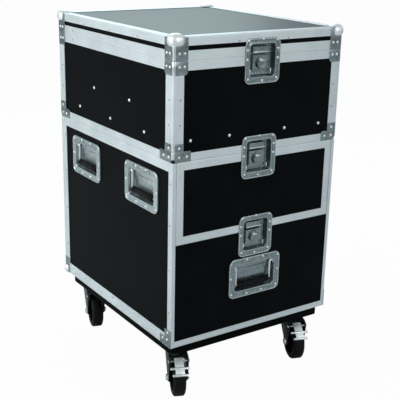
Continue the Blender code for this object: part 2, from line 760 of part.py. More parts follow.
def latches(carriers, keepers):
    """Each latch: dish and works on the piece under the seam, keeper dish on the piece over it."""
    for number, seam in SEAMS.items():
        centre = (0, seam - SPINDLE_DROP)
        shapes = [half_dish(seam, False), bridge(seam - BRIDGE_LOW, seam - BRIDGE_TOP)]
        hole = prism(
            circle(SPINDLE_R + GAP, 16, centre),
            "Y",
            depth(WING_DEPTH),
            depth(BRIDGE_DEPTH + 2 * BRIDGE_T),
        )
        name = f"latch_{number}"
        piece(f"{name}_dish", ZINC, shapes, [hole], parent=carriers[number])
        shapes = [half_dish(seam, True), bridge(seam + BRIDGE_TOP, seam + KEEPER_TOP)]
        piece(f"{name}_keeper", ZINC, shapes, parent=keepers[number])
        boss = spindle(f"{name}_spindle", seam, carriers[number])
        wing(f"{name}_wing", seam, boss)
        hook(f"{name}_hook", seam, carriers[number])


# Drawers


def runner(sx):
    """Two channels on one side wall, one for each drawer, joined by two upright straps."""
    outer = HALF_W - INNER - GAP
    shapes = []
    front = FRONT_Y + INNER + RUNNER_FOOT
    back = DRAWER_BACK - GAP
    for seam in (DRAWER_1_Z, DRAWER_2_Z):
        low = seam + DRAWER_FOOT + RUNNER_FOOT
        high = low + RUNNER_H
        inward = [(0, low), (RUNNER_LIP, low), (RUNNER_LIP, low + RUNNER_T)]
        inward += [(RUNNER_T, low + RUNNER_T), (RUNNER_T, high - RUNNER_T)]
        inward += [(RUNNER_LIP, high - RUNNER_T), (RUNNER_LIP, high), (0, high)]
        outline = [(sx * (outer - a), b) for a, b in inward]
        shapes.append(prism(outline, "Y", front, back))
    low = DRAWER_2_Z + DRAWER_FOOT + RUNNER_FOOT
    high = DRAWER_1_Z + DRAWER_FOOT + RUNNER_FOOT + RUNNER_H
    for start in (front, back - RUNNER_STRAP):
        ends = sorted((sx * outer, sx * (outer - RUNNER_T)))
        shapes.append(block((ends[0], start, low), (ends[1], start + RUNNER_STRAP, high)))
    name = "runner_left" if sx < 0 else "runner_right"
    piece(name, ZINC, shapes)


def drawer_box(name, seam, height, cuts, parent):
    """A glued tray behind its front, open at the top, with a rail along each side."""
    half = HALF_W - INNER - RUNNER_SPACE
    front = FRONT_Y + INNER + GAP
    back = DRAWER_BACK
    low, high = seam + DRAWER_FOOT, seam + height - DRAWER_HEAD
    outline = [(-half, front), (-half, back), (half, back), (half, front)]
    inner = half - PANEL_T
    outline += [(inner, front), (inner, back - PANEL_T), (-inner, back - PANEL_T), (-inner, front)]
    shapes = [prism(outline, "Z", low, high)]
    lap = inner + BITE
    shapes.append(block((-lap, front, low), (lap, back - PANEL_T + BITE, low + PANEL_T)))
    rail_low = low + RUNNER_FOOT + RUNNER_T + GAP
    rail_high = low + RUNNER_FOOT + RUNNER_H - RUNNER_T - GAP
    reach = HALF_W - INNER - 2 * GAP - RUNNER_T
    for sx in (-1, 1):
        ends = sorted((sx * (half - BITE), sx * reach))
        start = front + RUNNER_FOOT
        shapes.append(block((ends[0], start, rail_low), (ends[1], back - BITE, rail_high)))
    piece(name, PLYWOOD, shapes, cuts, parent=parent)


def drawer_1_front(parent):
    """The laminated front and its mitred edging, which the two latches break into two halves."""
    low, high = DRAWER_1_Z, UPPER_Z - GAP
    edge = ANGLE_T + GAP
    panel = block(
        (-FRONT_HALF + edge, FACE_Y, low + edge),
        (FRONT_HALF - edge, FACE_Y + PANEL_T, high - edge),
    )
    cuts = [latch_hole(DRAWER_1_Z, True), latch_hole(UPPER_Z, False)]
    piece("drawer_1_front", LAMINATE, [panel], cuts, parent=parent)
    half_a, half_b, middle = FRONT_HALF, (high - low) / 2, (high + low) / 2
    section = [(0, 0), (FRAME_W, 0), (FRAME_W, -ANGLE_T), (ANGLE_T, -ANGLE_T)]
    section += [(ANGLE_T, -INNER), (0, -INNER)]
    stop = LATCH_W / 2 + GAP
    for name, sx in (("left", -1), ("right", 1)):
        ends = [((stop, -half_b), (0, 1)), ((half_a, -half_b), (-1, 1))]
        ends += [((half_a, half_b), (-1, -1)), ((stop, half_b), (0, -1))]
        rings = []
        for (a, b), (in_a, in_b) in ends:
            ring = []
            for inward, out in section:
                x, z = sx * (a + inward * in_a), middle + b + inward * in_b
                ring.append((x, FRONT_Y - out, z))
            rings.append(ring)
        piece(f"drawer_1_frame_{name}", ALUMINIUM, [stack(rings)], parent=parent)


def drawers(drawer_1, drawer_2):
    drawer_1_front(drawer_1)
    keeper = [latch_hole(DRAWER_1_Z, True)]
    drawer_box("drawer_1_box", DRAWER_1_Z, DRAWER_1_H, keeper, drawer_1)
    low, high = DRAWER_2_Z + GAP, DRAWER_1_Z - GAP
    panel = block((-FRONT_HALF, FACE_Y, low), (FRONT_HALF, FACE_Y + PANEL_T, high))
    cuts = [latch_hole(DRAWER_1_Z, False), handle_hole(FRONT, front_handle())]
    piece("drawer_2_front", LAMINATE, [panel], cuts, parent=drawer_2)
    drawer_box("drawer_2_box", DRAWER_2_Z, DRAWER_2_H, (), drawer_2)
    for sx in (-1, 1):
        runner(sx)


# Castors


def board():
    """The castor board, with wide curves at its two left corners and small ones at its right."""
    low, high = (-BOARD_HALF_W, -BOARD_HALF_D), (BOARD_HALF_W, BOARD_HALF_D)
    steps = 5
    corner = steps + 1
    left, right = (rounded(low, high, radius, steps) for radius in (BOARD_LEFT_R, BOARD_RIGHT_R))
    outline = right[:corner] + left[corner : 3 * corner] + right[3 * corner :]
    piece("castor_board", PAINTED, [prism(outline, "Z", CASTOR_H, BODY_Z - GAP)])


def around_axle(angle, radius):
    """A point at some angle and distance from the axle, in a castor's own YZ plane."""
    t = math.radians(angle)
    return (-TRAIL - radius * math.cos(t), WHEEL_R + radius * math.sin(t))


ARM_X = WHEEL_W / 2 + ARM_CLEAR
CROWN_Z = CASTOR_H - PLATE_T - RACE_H - 2 * GAP
PIVOT = around_axle(PIVOT_ANGLE, WHEEL_R + PEDAL_PIN_R + BRAKE_CLEAR - 2 * MM)


def castor_plate(name, at):
    top = CASTOR_H - GAP
    sheet = prism(
        rounded((-PLATE_W / 2, -PLATE_L / 2), (PLATE_W / 2, PLATE_L / 2), 4 * MM, 1),
        "Z",
        top - PLATE_T,
        top,
    )
    race = prism(circle(RACE_R, 20), "Z", CROWN_Z + GAP, top - PLATE_T + BITE)
    piece(name, ZINC, [sheet, race], at=at)


def fork(name, at, turn):
    """A bent fork: a crown under the race and two arms that narrow down to the axle bolt."""
    ear = PEDAL_PIN_R + 2 * MM
    outline = [(CROWN_BACK, CROWN_Z), (-CROWN_FRONT, CROWN_Z)]
    outline += [(PIVOT[0] - ear, PIVOT[1] + ear), (PIVOT[0] - ear, PIVOT[1] - ear)]
    outline += [around_axle(-30 * k, ARM_R) for k in range(7)]
    outline.append((CROWN_BACK, CROWN_Z - CROWN_T))
    shapes = []
    for sx in (-1, 1):
        ends = sorted((sx * ARM_X, sx * (ARM_X + ARM_T)))
        shapes.append(prism(outline, "X", *ends))
    half = ARM_X + BITE
    low = (-half, -CROWN_FRONT + BITE, CROWN_Z - CROWN_T / 2)
    shapes.insert(0, block(low, (half, CROWN_BACK - BITE, CROWN_Z)))
    head, tip = ARM_X + ARM_T - BITE, ARM_X + ARM_T + BOLT_HEAD_H
    profile = [(BOLT_HEAD_R, -tip), (BOLT_HEAD_R, -head), (AXLE_R, -head)]
    profile += [(AXLE_R, head), (BOLT_HEAD_R, head), (BOLT_HEAD_R, tip)]
    shapes.append(turned(profile, "X", 12, (-TRAIL, WHEEL_R)))
    return piece(name, ZINC, shapes, at=at, turn=turn)


def wheel(name, at, turn, parent):
    """A rubber tyre on its hub, bored for the axle."""
    hub, half = ARM_X - GAP, WHEEL_W / 2
    side = [(AXLE_R + GAP, hub), (HUB_R, hub)]
    side += [(WHEEL_R - 2 * TYRE_SHOULDER, half - TYRE_SHOULDER / 2)]
    side += [(WHEEL_R - TYRE_SHOULDER, half), (WHEEL_R, half - TYRE_SHOULDER)]
    profile = side + [(r, -x) for r, x in reversed(side)]
    shape = turned(profile, "X", 20, bored=True)
    piece(name, RUBBER, [shape], at=at, turn=turn, parent=parent)


def pedal(name, at, turn, parent):
    """The brake pedal: a bent strip round the tyre with a cross bar at the foot rest and at its end."""
    bends = ((79, BRAKE_CLEAR + 3.5 * MM), (PIVOT_ANGLE, BRAKE_CLEAR + 1 * MM))
    bends += ((42, BRAKE_CLEAR), (19, BRAKE_CLEAR + 3 * MM))
    near = [around_axle(angle, WHEEL_R + clear) for angle, clear in bends]
    far = [around_axle(angle, WHEEL_R + clear + BRAKE_T) for angle, clear in bends]
    strip = [(y - PIVOT[0], z - PIVOT[1]) for y, z in near + far[::-1]]
    shapes = [prism(strip, "X", -PEDAL_W / 2, PEDAL_W / 2)]
    for (angle, clear), width in zip(bends[2:], (PEDAL_REST_W, PEDAL_END_W)):
        y, z = around_axle(angle, WHEEL_R + clear + BRAKE_T / 2)
        bar = circle(PEDAL_BAR_R, 8, (y - PIVOT[0], z - PIVOT[1]))
        shapes.append(prism(bar, "X", -width / 2, width / 2))
    pin = ARM_X - GAP
    shapes.append(prism(circle(PEDAL_PIN_R, 8), "X", -pin, pin))
    piece(name, ZINC, shapes, at=at, turn=turn, parent=parent)


def castors():
    for place, turn in CASTOR_TURN.items():
        end, side = place.split("_")
        x = -CASTOR_X if side == "left" else CASTOR_X
        y = -CASTOR_Y if end == "front" else CASTOR_Y
        swivel = Vector((x, y, 0))
        spin = Matrix.Rotation(math.radians(turn), 3, "Z")
        castor_plate(f"castor_plate_{place}", swivel)
        arms = fork(f"castor_fork_{place}", swivel, turn)
        axle = swivel + spin @ Vector((0, -TRAIL, WHEEL_R))
        wheel(f"castor_wheel_{place}", axle, turn, arms)
        if end == "front":
            pivot = swivel + spin @ Vector((0, *PIVOT))
            pedal(f"castor_pedal_{place}", pivot, turn, arms)


def build():
    for item in list(bpy.data.objects):
        bpy.data.objects.remove(item)
    lid_axis = axis_point("lid_axis", (0, HALF_D + GAP + KNUCKLE_R, LID_Z))
    drawer_1 = axis_point("drawer_1_slide", (0, FRONT_Y, DRAWER_1_Z))
    drawer_2 = axis_point("drawer_2_slide", (0, FRONT_Y, DRAWER_2_Z))
    bpy.context.view_layer.update()
    panels(lid_axis)
    lower_edging()
    upper_edging()
    lid_edging(lid_axis)
    rims(lid_axis)
    hinge(lid_axis)
    drawers(drawer_1, drawer_2)
    handles(drawer_2)
    carriers = {1: None, 2: drawer_1, 3: drawer_2}
    keepers = {1: lid_axis, 2: None, 3: drawer_1}
    latches(carriers, keepers)
    board()
    castors()


build()
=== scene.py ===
import math

import bmesh
import bpy
from mathutils import Matrix, Vector


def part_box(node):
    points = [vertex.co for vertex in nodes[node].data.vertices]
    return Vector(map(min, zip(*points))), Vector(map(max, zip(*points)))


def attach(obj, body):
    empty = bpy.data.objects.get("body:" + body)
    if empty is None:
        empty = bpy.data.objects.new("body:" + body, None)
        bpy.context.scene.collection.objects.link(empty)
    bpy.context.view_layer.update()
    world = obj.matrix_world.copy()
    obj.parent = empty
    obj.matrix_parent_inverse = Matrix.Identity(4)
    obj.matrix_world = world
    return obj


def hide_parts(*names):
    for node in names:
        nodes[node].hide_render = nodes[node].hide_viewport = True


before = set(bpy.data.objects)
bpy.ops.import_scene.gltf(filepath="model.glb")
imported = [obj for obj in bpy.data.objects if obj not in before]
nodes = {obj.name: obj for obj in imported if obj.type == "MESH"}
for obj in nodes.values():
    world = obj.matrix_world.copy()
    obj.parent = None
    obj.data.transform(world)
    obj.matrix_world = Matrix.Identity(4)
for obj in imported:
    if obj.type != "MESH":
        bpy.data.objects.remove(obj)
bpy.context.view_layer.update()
MM = 0.001


# Camera: it looks down at the front left corner of the case from about chest height.
# Its place, tilt and lens follow the photograph, which is 400 pixels wide and high.

CAMERA_AT, LENS = (-1.347, -2.0375, 1.2339), 77.33
CAMERA_TURN, CAMERA_DOWN, CAMERA_ROLL = -34.119, 17.875, 1.246
bpy.ops.object.camera_add(location=CAMERA_AT)
camera = bpy.context.object
camera.name = "camera"
turn = Matrix.Rotation(math.radians(CAMERA_TURN), 4, "Z")
tilt = Matrix.Rotation(math.radians(90 - CAMERA_DOWN), 4, "X")
roll = Matrix.Rotation(math.radians(CAMERA_ROLL), 4, "Z")
camera.matrix_world = Matrix.Translation(camera.location) @ turn @ tilt @ roll
camera.data.lens = LENS
bpy.context.scene.camera = camera
bpy.context.scene.view_settings.view_transform = "Standard"


# Studio: a white paper floor that keeps a soft shadow, a white surround and three soft lamps.
# The lamp on the left is the strongest, so the left side reads paler than the front.


def material_nodes(name):
    """A new material, with its nodes, links and shader."""
    material = bpy.data.materials.new(name)
    material.use_nodes = True
    tree = material.node_tree
    return material, tree.nodes, tree.links, tree.nodes["Principled BSDF"]


world = bpy.data.worlds.new("studio")
bpy.context.scene.world = world
world.use_nodes = True
tree = world.node_tree
rays = tree.nodes.new("ShaderNodeLightPath")
seen = tree.nodes.new("ShaderNodeMath")
seen.operation = "MAXIMUM"
tree.links.new(rays.outputs["Is Camera Ray"], seen.inputs[0])
tree.links.new(rays.outputs["Is Transmission Ray"], seen.inputs[1])
surround = tree.nodes.new("ShaderNodeMix")
surround.data_type = "RGBA"
surround.inputs["A"].default_value = (0.24, 0.26, 0.27, 1)
surround.inputs["B"].default_value = (1, 1, 1, 1)
tree.links.new(seen.outputs[0], surround.inputs["Factor"])
mirrored_room = tree.nodes.new("ShaderNodeMix")
mirrored_room.data_type = "RGBA"
mirrored_room.inputs["B"].default_value = (0.5, 0.54, 0.55, 1)
tree.links.new(rays.outputs["Is Glossy Ray"], mirrored_room.inputs["Factor"])
tree.links.new(surround.outputs["Result"], mirrored_room.inputs["A"])
tree.links.new(mirrored_room.outputs["Result"], tree.nodes["Background"].inputs["Color"])

bpy.ops.mesh.primitive_plane_add(size=30)
floor = bpy.context.object
floor.name = "floor"
paper, shading, links, shader = material_nodes("white_paper")
shader.inputs["Base Color"].default_value = (0.86, 0.87, 0.87, 1)
shader.inputs["Roughness"].default_value = 0.9
glow = shading.new("ShaderNodeEmission")
rays = shading.new("ShaderNodeLightPath")
share = shading.new("ShaderNodeMath")
share.operation = "MULTIPLY"
share.inputs[1].default_value = 0.97
blend = shading.new("ShaderNodeMixShader")
links.new(rays.outputs["Is Camera Ray"], share.inputs[0])
links.new(share.outputs[0], blend.inputs["Fac"])
links.new(shader.outputs["BSDF"], blend.inputs[1])
links.new(glow.outputs["Emission"], blend.inputs[2])
links.new(blend.outputs["Shader"], shading["Material Output"].inputs["Surface"])
floor.data.materials.append(paper)

LAMPS = {
    "lamp_left": ((-3.2, 0.9, 1.7), 1.8, 62, (1, 1, 1)),
    "lamp_front": ((0.6, -3.6, 2.2), 2.2, 34, (1, 1, 1)),
    "lamp_back": ((1.2, 2.6, 2.6), 2.0, 36, (0.8, 0.97, 1)),
}
for name, (place, size, power, colour) in LAMPS.items():
    bpy.ops.object.light_add(type="AREA", location=place)
    lamp = bpy.context.object
    lamp.name = name
    lamp.data.size = size
    lamp.data.energy = power
    lamp.data.color = colour
    aim = Vector((0, 0, 0.5)) - lamp.location
    lamp.rotation_euler = aim.to_track_quat("-Z", "Y").to_euler()


# Black laminate: birch ply faced with a black phenolic sheet, pressed with a fine pebble.
# It faces the four walls of each body, the sides of the lid and both drawer fronts.


def shader_node(shading, kind, settings):
    """A new shader node with some of its sockets set."""
    node = shading.new(kind)
    for socket, value in settings.items():
        node.inputs[socket].default_value = value
    return node


def finish_of(
    name, tones, stops, grain, relief, coat, stretch=None, cloud=None, share=1, gloss=None, cells=False
):
    """A finish in two tones. They follow a fine grain by a share, and a broad cloud by the rest. The
    relief follows the grain, and a gloss runs between two roughnesses with the cloud. The grain may
    be stretched. It may also be made of flat cells, and then the relief follows the cloud."""
    material, shading, links, shader = material_nodes(name)
    for socket, value in coat.items():
        shader.inputs[socket].default_value = value
    place = shading.new("ShaderNodeTexCoord").outputs["Object"]
    fine = shader_node(shading, "ShaderNodeTexVoronoi" if cells else "ShaderNodeTexNoise", grain)
    tone = fine.outputs["Distance" if cells else "Fac"]
    height = tone
    if stretch:
        drawn = shader_node(shading, "ShaderNodeMapping", {"Scale": stretch})
        links.new(place, drawn.inputs["Vector"])
        links.new(drawn.outputs["Vector"], fine.inputs["Vector"])
    else:
        links.new(place, fine.inputs["Vector"])
    if cloud:
        broad = shader_node(shading, "ShaderNodeTexNoise", cloud)
        both = shader_node(shading, "ShaderNodeMix", {"Factor": share})
        links.new(place, broad.inputs["Vector"])
        links.new(broad.outputs["Fac"], both.inputs["A"])
        links.new(tone, both.inputs["B"])
        tone = both.outputs["Result"]
        height = broad.outputs["Fac"] if cells else height
    ramp = shading.new("ShaderNodeValToRGB")
    for element, colour, stop in zip(ramp.color_ramp.elements, tones, stops):
        element.position = stop
        element.color = (*colour, 1)
    links.new(tone, ramp.inputs["Fac"])
    links.new(ramp.outputs["Color"], shader.inputs["Base Color"])
    if gloss:
        sheen = shader_node(shading, "ShaderNodeMapRange", {"To Min": gloss[0], "To Max": gloss[1]})
        links.new(broad.outputs["Fac"], sheen.inputs["Value"])
        links.new(sheen.outputs["Result"], shader.inputs["Roughness"])
    bump = shader_node(shading, "ShaderNodeBump", {"Strength": relief[0], "Distance": relief[1]})
    links.new(height, bump.inputs["Height"])
    links.new(bump.outputs["Normal"], shader.inputs["Normal"])
    return material


def refinish(names, material):
    """Gives solids of the frame a new finish."""
    for name in names:
        nodes[name].data.materials.clear()
        nodes[name].data.materials.append(material)


laminate = finish_of(
    "black_laminate",
    tones=((0.0007, 0.001, 0.0014), (0.0036, 0.005, 0.0066)),
    stops=(0.3, 0.75),
    grain={"Scale": 420, "Detail": 3},
    cloud={"Scale": 9, "Detail": 5},
    share=0.35,
    relief=(0.35, 0.6 * MM),
    coat={"Roughness": 0.5, "Specular IOR Level": 0.04},
)
BLACK_BOARDS = ("lower_box", "upper_box", "lid_side_panels", "drawer_1_front", "drawer_2_front")
refinish(BLACK_BOARDS, laminate)


# Lid top: the same ply, faced with a plain grey sheet that is a little glossier than the walls.
# It is let in flush between the top edging, which holds it down all round.

sheet_top = finish_of(
    "grey_sheet",
    tones=((0.012, 0.038, 0.046), (0.018, 0.052, 0.06)),
    stops=(0, 1),
    grain={"Scale": 260, "Detail": 4},
    cloud={"Scale": 5, "Detail": 2},
    share=0,
    relief=(0.2, 0.4 * MM),
    coat={"Roughness": 0.42, "Specular IOR Level": 0.24},
)
refinish(["lid_top_panel"], sheet_top)


# Bare ply: lacquered birch, used for the divider under the upper compartment and for both trays.
# The boards are glued at their edges, and their grain runs across the case.

birch = finish_of(
    "birch_ply",
    tones=((0.36, 0.22, 0.11), (0.6, 0.43, 0.25)),
    stops=(0.3, 0.7),
    stretch=(3, 60, 60),
    grain={"Scale": 1.2, "Detail": 8, "Distortion": 0.6},
    relief=(0.15, 0.5 * MM),
    coat={"Roughness": 0.45},
)
refinish(["divider_panel", "drawer_1_box", "drawer_2_box"], birch)


# Edging: aluminium angle, extruded with fine lines along it, sawn to length and riveted over the
# edges of the boards. The levels and half sizes of the case are read from the frame.

rim_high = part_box("case_rim")[1]
HALF_W, HALF_D = rim_high.x, rim_high.y
SPLIT_Z = rim_high.z - 3 * MM
BODY_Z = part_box("castor_board")[1].z + 0.3 * MM
DRAWER_1_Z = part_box("drawer_1_frame_left")[0].z
UPPER_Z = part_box("divider_panel")[0].z - 1.8 * MM
TOP_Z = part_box("lid_top_panel")[1].z + 1.8 * MM
WALL = 1.5 * MM
LATCH_W = 112 * MM
NEAR = 0.01 * MM

METAL_ALONG = {}
for axis in "XYZ":
    METAL_ALONG[axis] = finish_of(
        f"aluminium_along_{axis.lower()}",
        tones=((0.66, 0.74, 0.77), (0.82, 0.89, 0.91)),
        stops=(0.25, 0.75),
        stretch=[4 if along == axis else 900 for along in "XYZ"],
        grain={"Scale": 1, "Detail": 4},
        cloud={"Scale": 14, "Detail": 6},
        share=0.4,
        gloss=(0.4, 0.58),
        relief=(0.25, 0.3 * MM),
        coat={"Metallic": 0.75},
    )


def take(piece):
    """Selects one piece alone, as the active one."""
    bpy.ops.object.select_all(action="DESELECT")
    piece.select_set(True)
    bpy.context.view_layer.objects.active = piece


def pull(by):
    """Extrudes what is selected."""
    bpy.ops.mesh.extrude_region_move(TRANSFORM_OT_translate={"value": Vector(by)})


def draw_line(points):
    """A line drawn point by point as a new piece, left in edit mode."""
    points = [Vector(point) for point in points]
    bpy.ops.object.select_all(action="DESELECT")
    bpy.ops.mesh.primitive_plane_add(size=MM, location=points[0])
    bpy.ops.object.mode_set(mode="EDIT")
    bpy.ops.mesh.select_mode(type="VERT")
    bpy.ops.mesh.merge(type="CENTER")
    for here, there in zip(points, points[1:]):
        pull(there - here)
    bpy.ops.mesh.select_all(action="SELECT")
    return bpy.context.object


def draw_outline(points):
    """A flat face with a drawn outline, left in edit mode."""
    face = draw_line(points)
    bpy.ops.mesh.edge_face_add()
    return face


def pick(kind, test):
    """Selects only the faces, edges or points whose middle, in the frame's own place, passes a test."""
    piece = bpy.context.object
    bpy.ops.mesh.select_all(action="DESELECT")
    bpy.ops.mesh.select_mode(type={"faces": "FACE", "edges": "EDGE", "verts": "VERT"}[kind])
    shape = bmesh.from_edit_mesh(piece.data)
    for part in getattr(shape, kind):
        if kind == "faces":
            middle, way = part.calc_center_median(), part.normal
        elif kind == "edges":
            ends = [end.co for end in part.verts]
            middle, way = (ends[0] + ends[1]) / 2, (ends[1] - ends[0]).normalized()
        else:
            middle, way = part.co, None
        if test(middle + piece.location, way):
            part.select_set(True)
    shape.select_flush_mode()
    bmesh.update_edit_mesh(piece.data)


def round_over(radius, segments, test):
    """Rounds the edges that pass a test."""
    pick("edges", test)
    bpy.ops.mesh.bevel(offset=radius, segments=segments, affect="EDGES")


def saw_off(point, fall):
    """Saws through at a point, square to a direction, in which the waste falls. The cut is closed."""
    bpy.ops.mesh.select_all(action="SELECT")
    bpy.ops.mesh.bisect(plane_co=point, plane_no=fall, use_fill=True, clear_outer=True)


def ease_edges(piece, width, segments=2, angle=40):
    """Rounds every sharp edge of a piece a little."""
    bpy.ops.object.modifier_add(type="BEVEL")
    bevel = piece.modifiers[-1]
    bevel.width = width
    bevel.segments = segments
    bevel.limit_method = "ANGLE"
    bevel.angle_limit = math.radians(angle)
    bpy.ops.object.modifier_apply(modifier=bevel.name)


def complete(piece, material, ease=0.3 * MM, segments=2):
    """Leaves edit mode, faces the skin outwards, rounds its edges and gives it a finish."""
    if piece.mode == "EDIT":
        bpy.ops.mesh.select_all(action="SELECT")
        bpy.ops.mesh.normals_make_consistent(inside=False)
        bpy.ops.object.mode_set(mode="OBJECT")
    take(piece)
    bpy.ops.object.transform_apply(location=True, rotation=True, scale=True)
    if ease:
        ease_edges(piece, ease, segments)
    bpy.ops.object.shade_smooth_by_angle(angle=math.radians(35))
    piece.data.materials.clear()
    piece.data.materials.append(material)
    return piece


def assemble(name, pieces, body, replaced=()):
    """Joins finished pieces into one that rides on a body of the frame."""
    take(pieces[0])
    for piece in pieces[1:]:
        piece.select_set(True)
    if len(pieces) > 1:
        bpy.ops.object.join()
    whole = bpy.context.object
    whole.name = name
    whole.data.name = name
    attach(whole, body)
    if replaced:
        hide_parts(*replaced)


def grooved(start, end, inward, count):
    """The outer line of a leg from start to end, with shallow grooves spread along it."""
    half = (end - start).normalized() * 0.9 * MM
    deep = inward.normalized() * 0.35 * MM
    line = [start]
    for k in range(count):
        middle = start.lerp(end, (k + 1) / (count + 1))
        line += [middle - half, middle - half + deep, middle + half + deep, middle + half]
    return line + [end]


def draw_angle(corner, way, leg, other, grooves, fold=1.3 * MM):
    """An angle whose outer corner runs from a point along a vector, with two legs drawn from it."""
    corner, way, leg, other = (Vector(v) for v in (corner, way, leg, other))
    a, b = leg.normalized() * WALL, other.normalized() * WALL
    face = grooved(corner, corner + leg, b, grooves)
    side = grooved(corner, corner + other, a, grooves)
    bar = draw_outline(face + [corner + leg + b, corner + a + b, corner + other + a] + side[:0:-1])
    pull(way)
    on_corner = way.normalized()
    round_over(
        fold,
        4,
        lambda middle, along: abs(along.dot(on_corner)) > 0.99
        and (middle - corner).cross(on_corner).length < NEAR,
    )
    return bar


def angle_bar(corner, way, leg, other, grooves=2, mitres=()):
    """A length of edging, sawn at each mitre, a point and the direction in which the waste falls."""
    bar = draw_angle(corner, way, leg, other, grooves)
    for point, fall in mitres:
        saw_off(point, fall)
    axis = "XYZ"[max(range(3), key=lambda k: abs(way[k]))]
    return complete(bar, METAL_ALONG[axis], ease=0.15 * MM, segments=1)


def four_sides(front_reach, side_starts, back_reach, level, face_leg, hidden_leg, stop=0):
    """Horizontal angles between the posts: a front one, split by a latch if asked, two sides and a back."""
    bars = []
    up = Vector((0, 0, face_leg))
    for start, end in ((-front_reach, -stop), (stop, front_reach)) if front_reach else ():
        corner = (start, -HALF_D, level)
        bars.append(angle_bar(corner, (end - start, 0, 0), up, (0, hidden_leg, 0)))
    for sx in (-1, 1):
        corner = (sx * HALF_W, side_starts[0], level)
        run = (0, side_starts[1] - side_starts[0], 0)
        bars.append(angle_bar(corner, run, up, (-sx * hidden_leg, 0, 0)))
    corner = (-back_reach, HALF_D, level)
    bars.append(angle_bar(corner, (2 * back_reach, 0, 0), up, (0, -hidden_leg, 0)))
    return bars


def posts(low, high, front_legs, rear_legs):
    """The four upright angles of a body."""
    bars = []
    for sx in (-1, 1):
        for sy, (wide, deep) in ((-1, front_legs), (1, rear_legs)):
            corner = (sx * HALF_W, sy * HALF_D, low)
            run = (0, 0, high - low)
            bars.append(angle_bar(corner, run, (-sx * wide, 0, 0), (0, -sy * deep, 0)))
    return bars


# Lower body: full-height posts, a low front sill, deeper side and back sills, and a top edging
# round the drawer bay. The front posts are narrow, so that the drawers can pass between them.

LOW_FRONT, LOW_SIDE, REAR_SIDE, REAR_BACK = 10.8 * MM, 19 * MM, 32 * MM, 30 * MM
SILL_H, FRONT_SILL_H, TOP_H, SHELF = 33.9 * MM, 17.3 * MM, 25.3 * MM, 18 * MM
run_low = (-HALF_D + LOW_SIDE, HALF_D - REAR_SIDE)
bars = posts(BODY_Z, UPPER_Z - 0.3 * MM, (LOW_FRONT, LOW_SIDE), (REAR_BACK, REAR_SIDE))
front_reach = HALF_W - LOW_FRONT
corner = (-front_reach, -HALF_D, BODY_Z)
sill = (2 * front_reach, 0, 0)
bars.append(angle_bar(corner, sill, (0, 0, FRONT_SILL_H), (0, SHELF, 0), grooves=1))
back_reach = HALF_W - REAR_BACK
bars += four_sides(0, run_low, back_reach, BODY_Z, SILL_H, SHELF)
bars += four_sides(0, run_low, back_reach, UPPER_Z - 0.3 * MM, -TOP_H, LOW_FRONT)
assemble("lower_angles", bars, "case", ["lower_edging"])


# Upper body: wider posts between the base edging and the rim. The front latch interrupts the
# base edging, and the rim's own braces cover the heads of the posts.

UP_FRONT, UP_SIDE, BASE_H, RIM_H = 30 * MM, 36 * MM, 20.9 * MM, 24 * MM
NOTCH = 9 * MM
run_up = (-HALF_D + UP_SIDE, HALF_D - REAR_SIDE)
head = SPLIT_Z - RIM_H - 0.3 * MM
bars = posts(UPPER_Z + NOTCH, head, (UP_FRONT, UP_SIDE), (REAR_BACK, REAR_SIDE))
stop = LATCH_W / 2 - 8 * MM
bars += four_sides(HALF_W - UP_FRONT, run_up, back_reach, UPPER_Z, BASE_H, SHELF, stop)
assemble("upper_angles", bars, "case", ["upper_edging"])


# Rims: two hollow extrusions that close on each other, a tongue on the body and a groove in the lid.
# Each is mitred at the corners and sawn out at the front for the latch dish.


def wall_of(side):
    """Of the wall at an angle from the front: its turn about Z, its half length and its distance."""
    reach, far = (HALF_W, HALF_D) if side in (0, 180) else (HALF_D, HALF_W)
    return Matrix.Rotation(math.radians(side), 3, "Z"), reach, far


def mitre(side, sign):
    """Where a bar along a wall is sawn at 45 degrees at one end, and the way the waste falls."""
    turned, reach, far = wall_of(side)
    return turned @ Vector((sign * reach, -far, 0)), turned @ Vector((sign, 1, 0))


def rim_bar(side, start, end, lid_side):
    """One bar of a rim, drawn in section and sawn at 45 degrees where it meets a corner."""
    turned, reach, far = wall_of(side)
    deep, web = 12.6 * MM, 10 * MM
    up, tooth, tip = (1, (3.3, 7.5), 3.6) if lid_side else (-1, (3.9, 6.9), 3)
    seam = up * 0.15 * MM
    near, back = tooth[0] * MM, tooth[1] * MM

    def spot(inward, level):
        return turned @ Vector((start, -far + inward, 0)) + Vector((0, 0, SPLIT_Z + level))

    outline = grooved(spot(0, up * RIM_H), spot(0, seam), turned @ Vector((0, 1, 0)), 3)
    outline += [spot(near, seam), spot(near, tip * MM), spot(back, tip * MM), spot(back, seam)]
    outline += [spot(deep, seam), spot(deep, up * RIM_H), spot(deep - WALL, up * RIM_H)]
    outline += [spot(deep - WALL, up * web), spot(WALL, up * web), spot(WALL, up * RIM_H)]
    bar = draw_outline(outline)
    pull(turned @ Vector((end - start, 0, 0)))
    for sign, end_at in ((-1, start), (1, end)):
        if abs(end_at) >= reach:
            saw_off(*mitre(side, sign))
    return complete(bar, METAL_ALONG["X" if side in (0, 180) else "Y"], ease=0.15 * MM, segments=1)


stop = LATCH_W / 2 - 13 * MM
for name, body in (("case_rim_bars", "case"), ("lid_rim_bars", "lid")):
    lid_side = body == "lid"
    bars = [rim_bar(0, -HALF_W, -stop, lid_side), rim_bar(0, stop, HALF_W, lid_side)]
    for side, reach in ((90, HALF_D), (180, HALF_W), (270, HALF_D)):
        bars.append(rim_bar(side, -reach, reach, lid_side))
    assemble(name, bars, body, [name.replace("_bars", "")])


# Lid edging: an aluminium angle riveted over each top edge of the lid, round the grey sheet.
# The four lengths are mitred at the corners, under the ball corners.

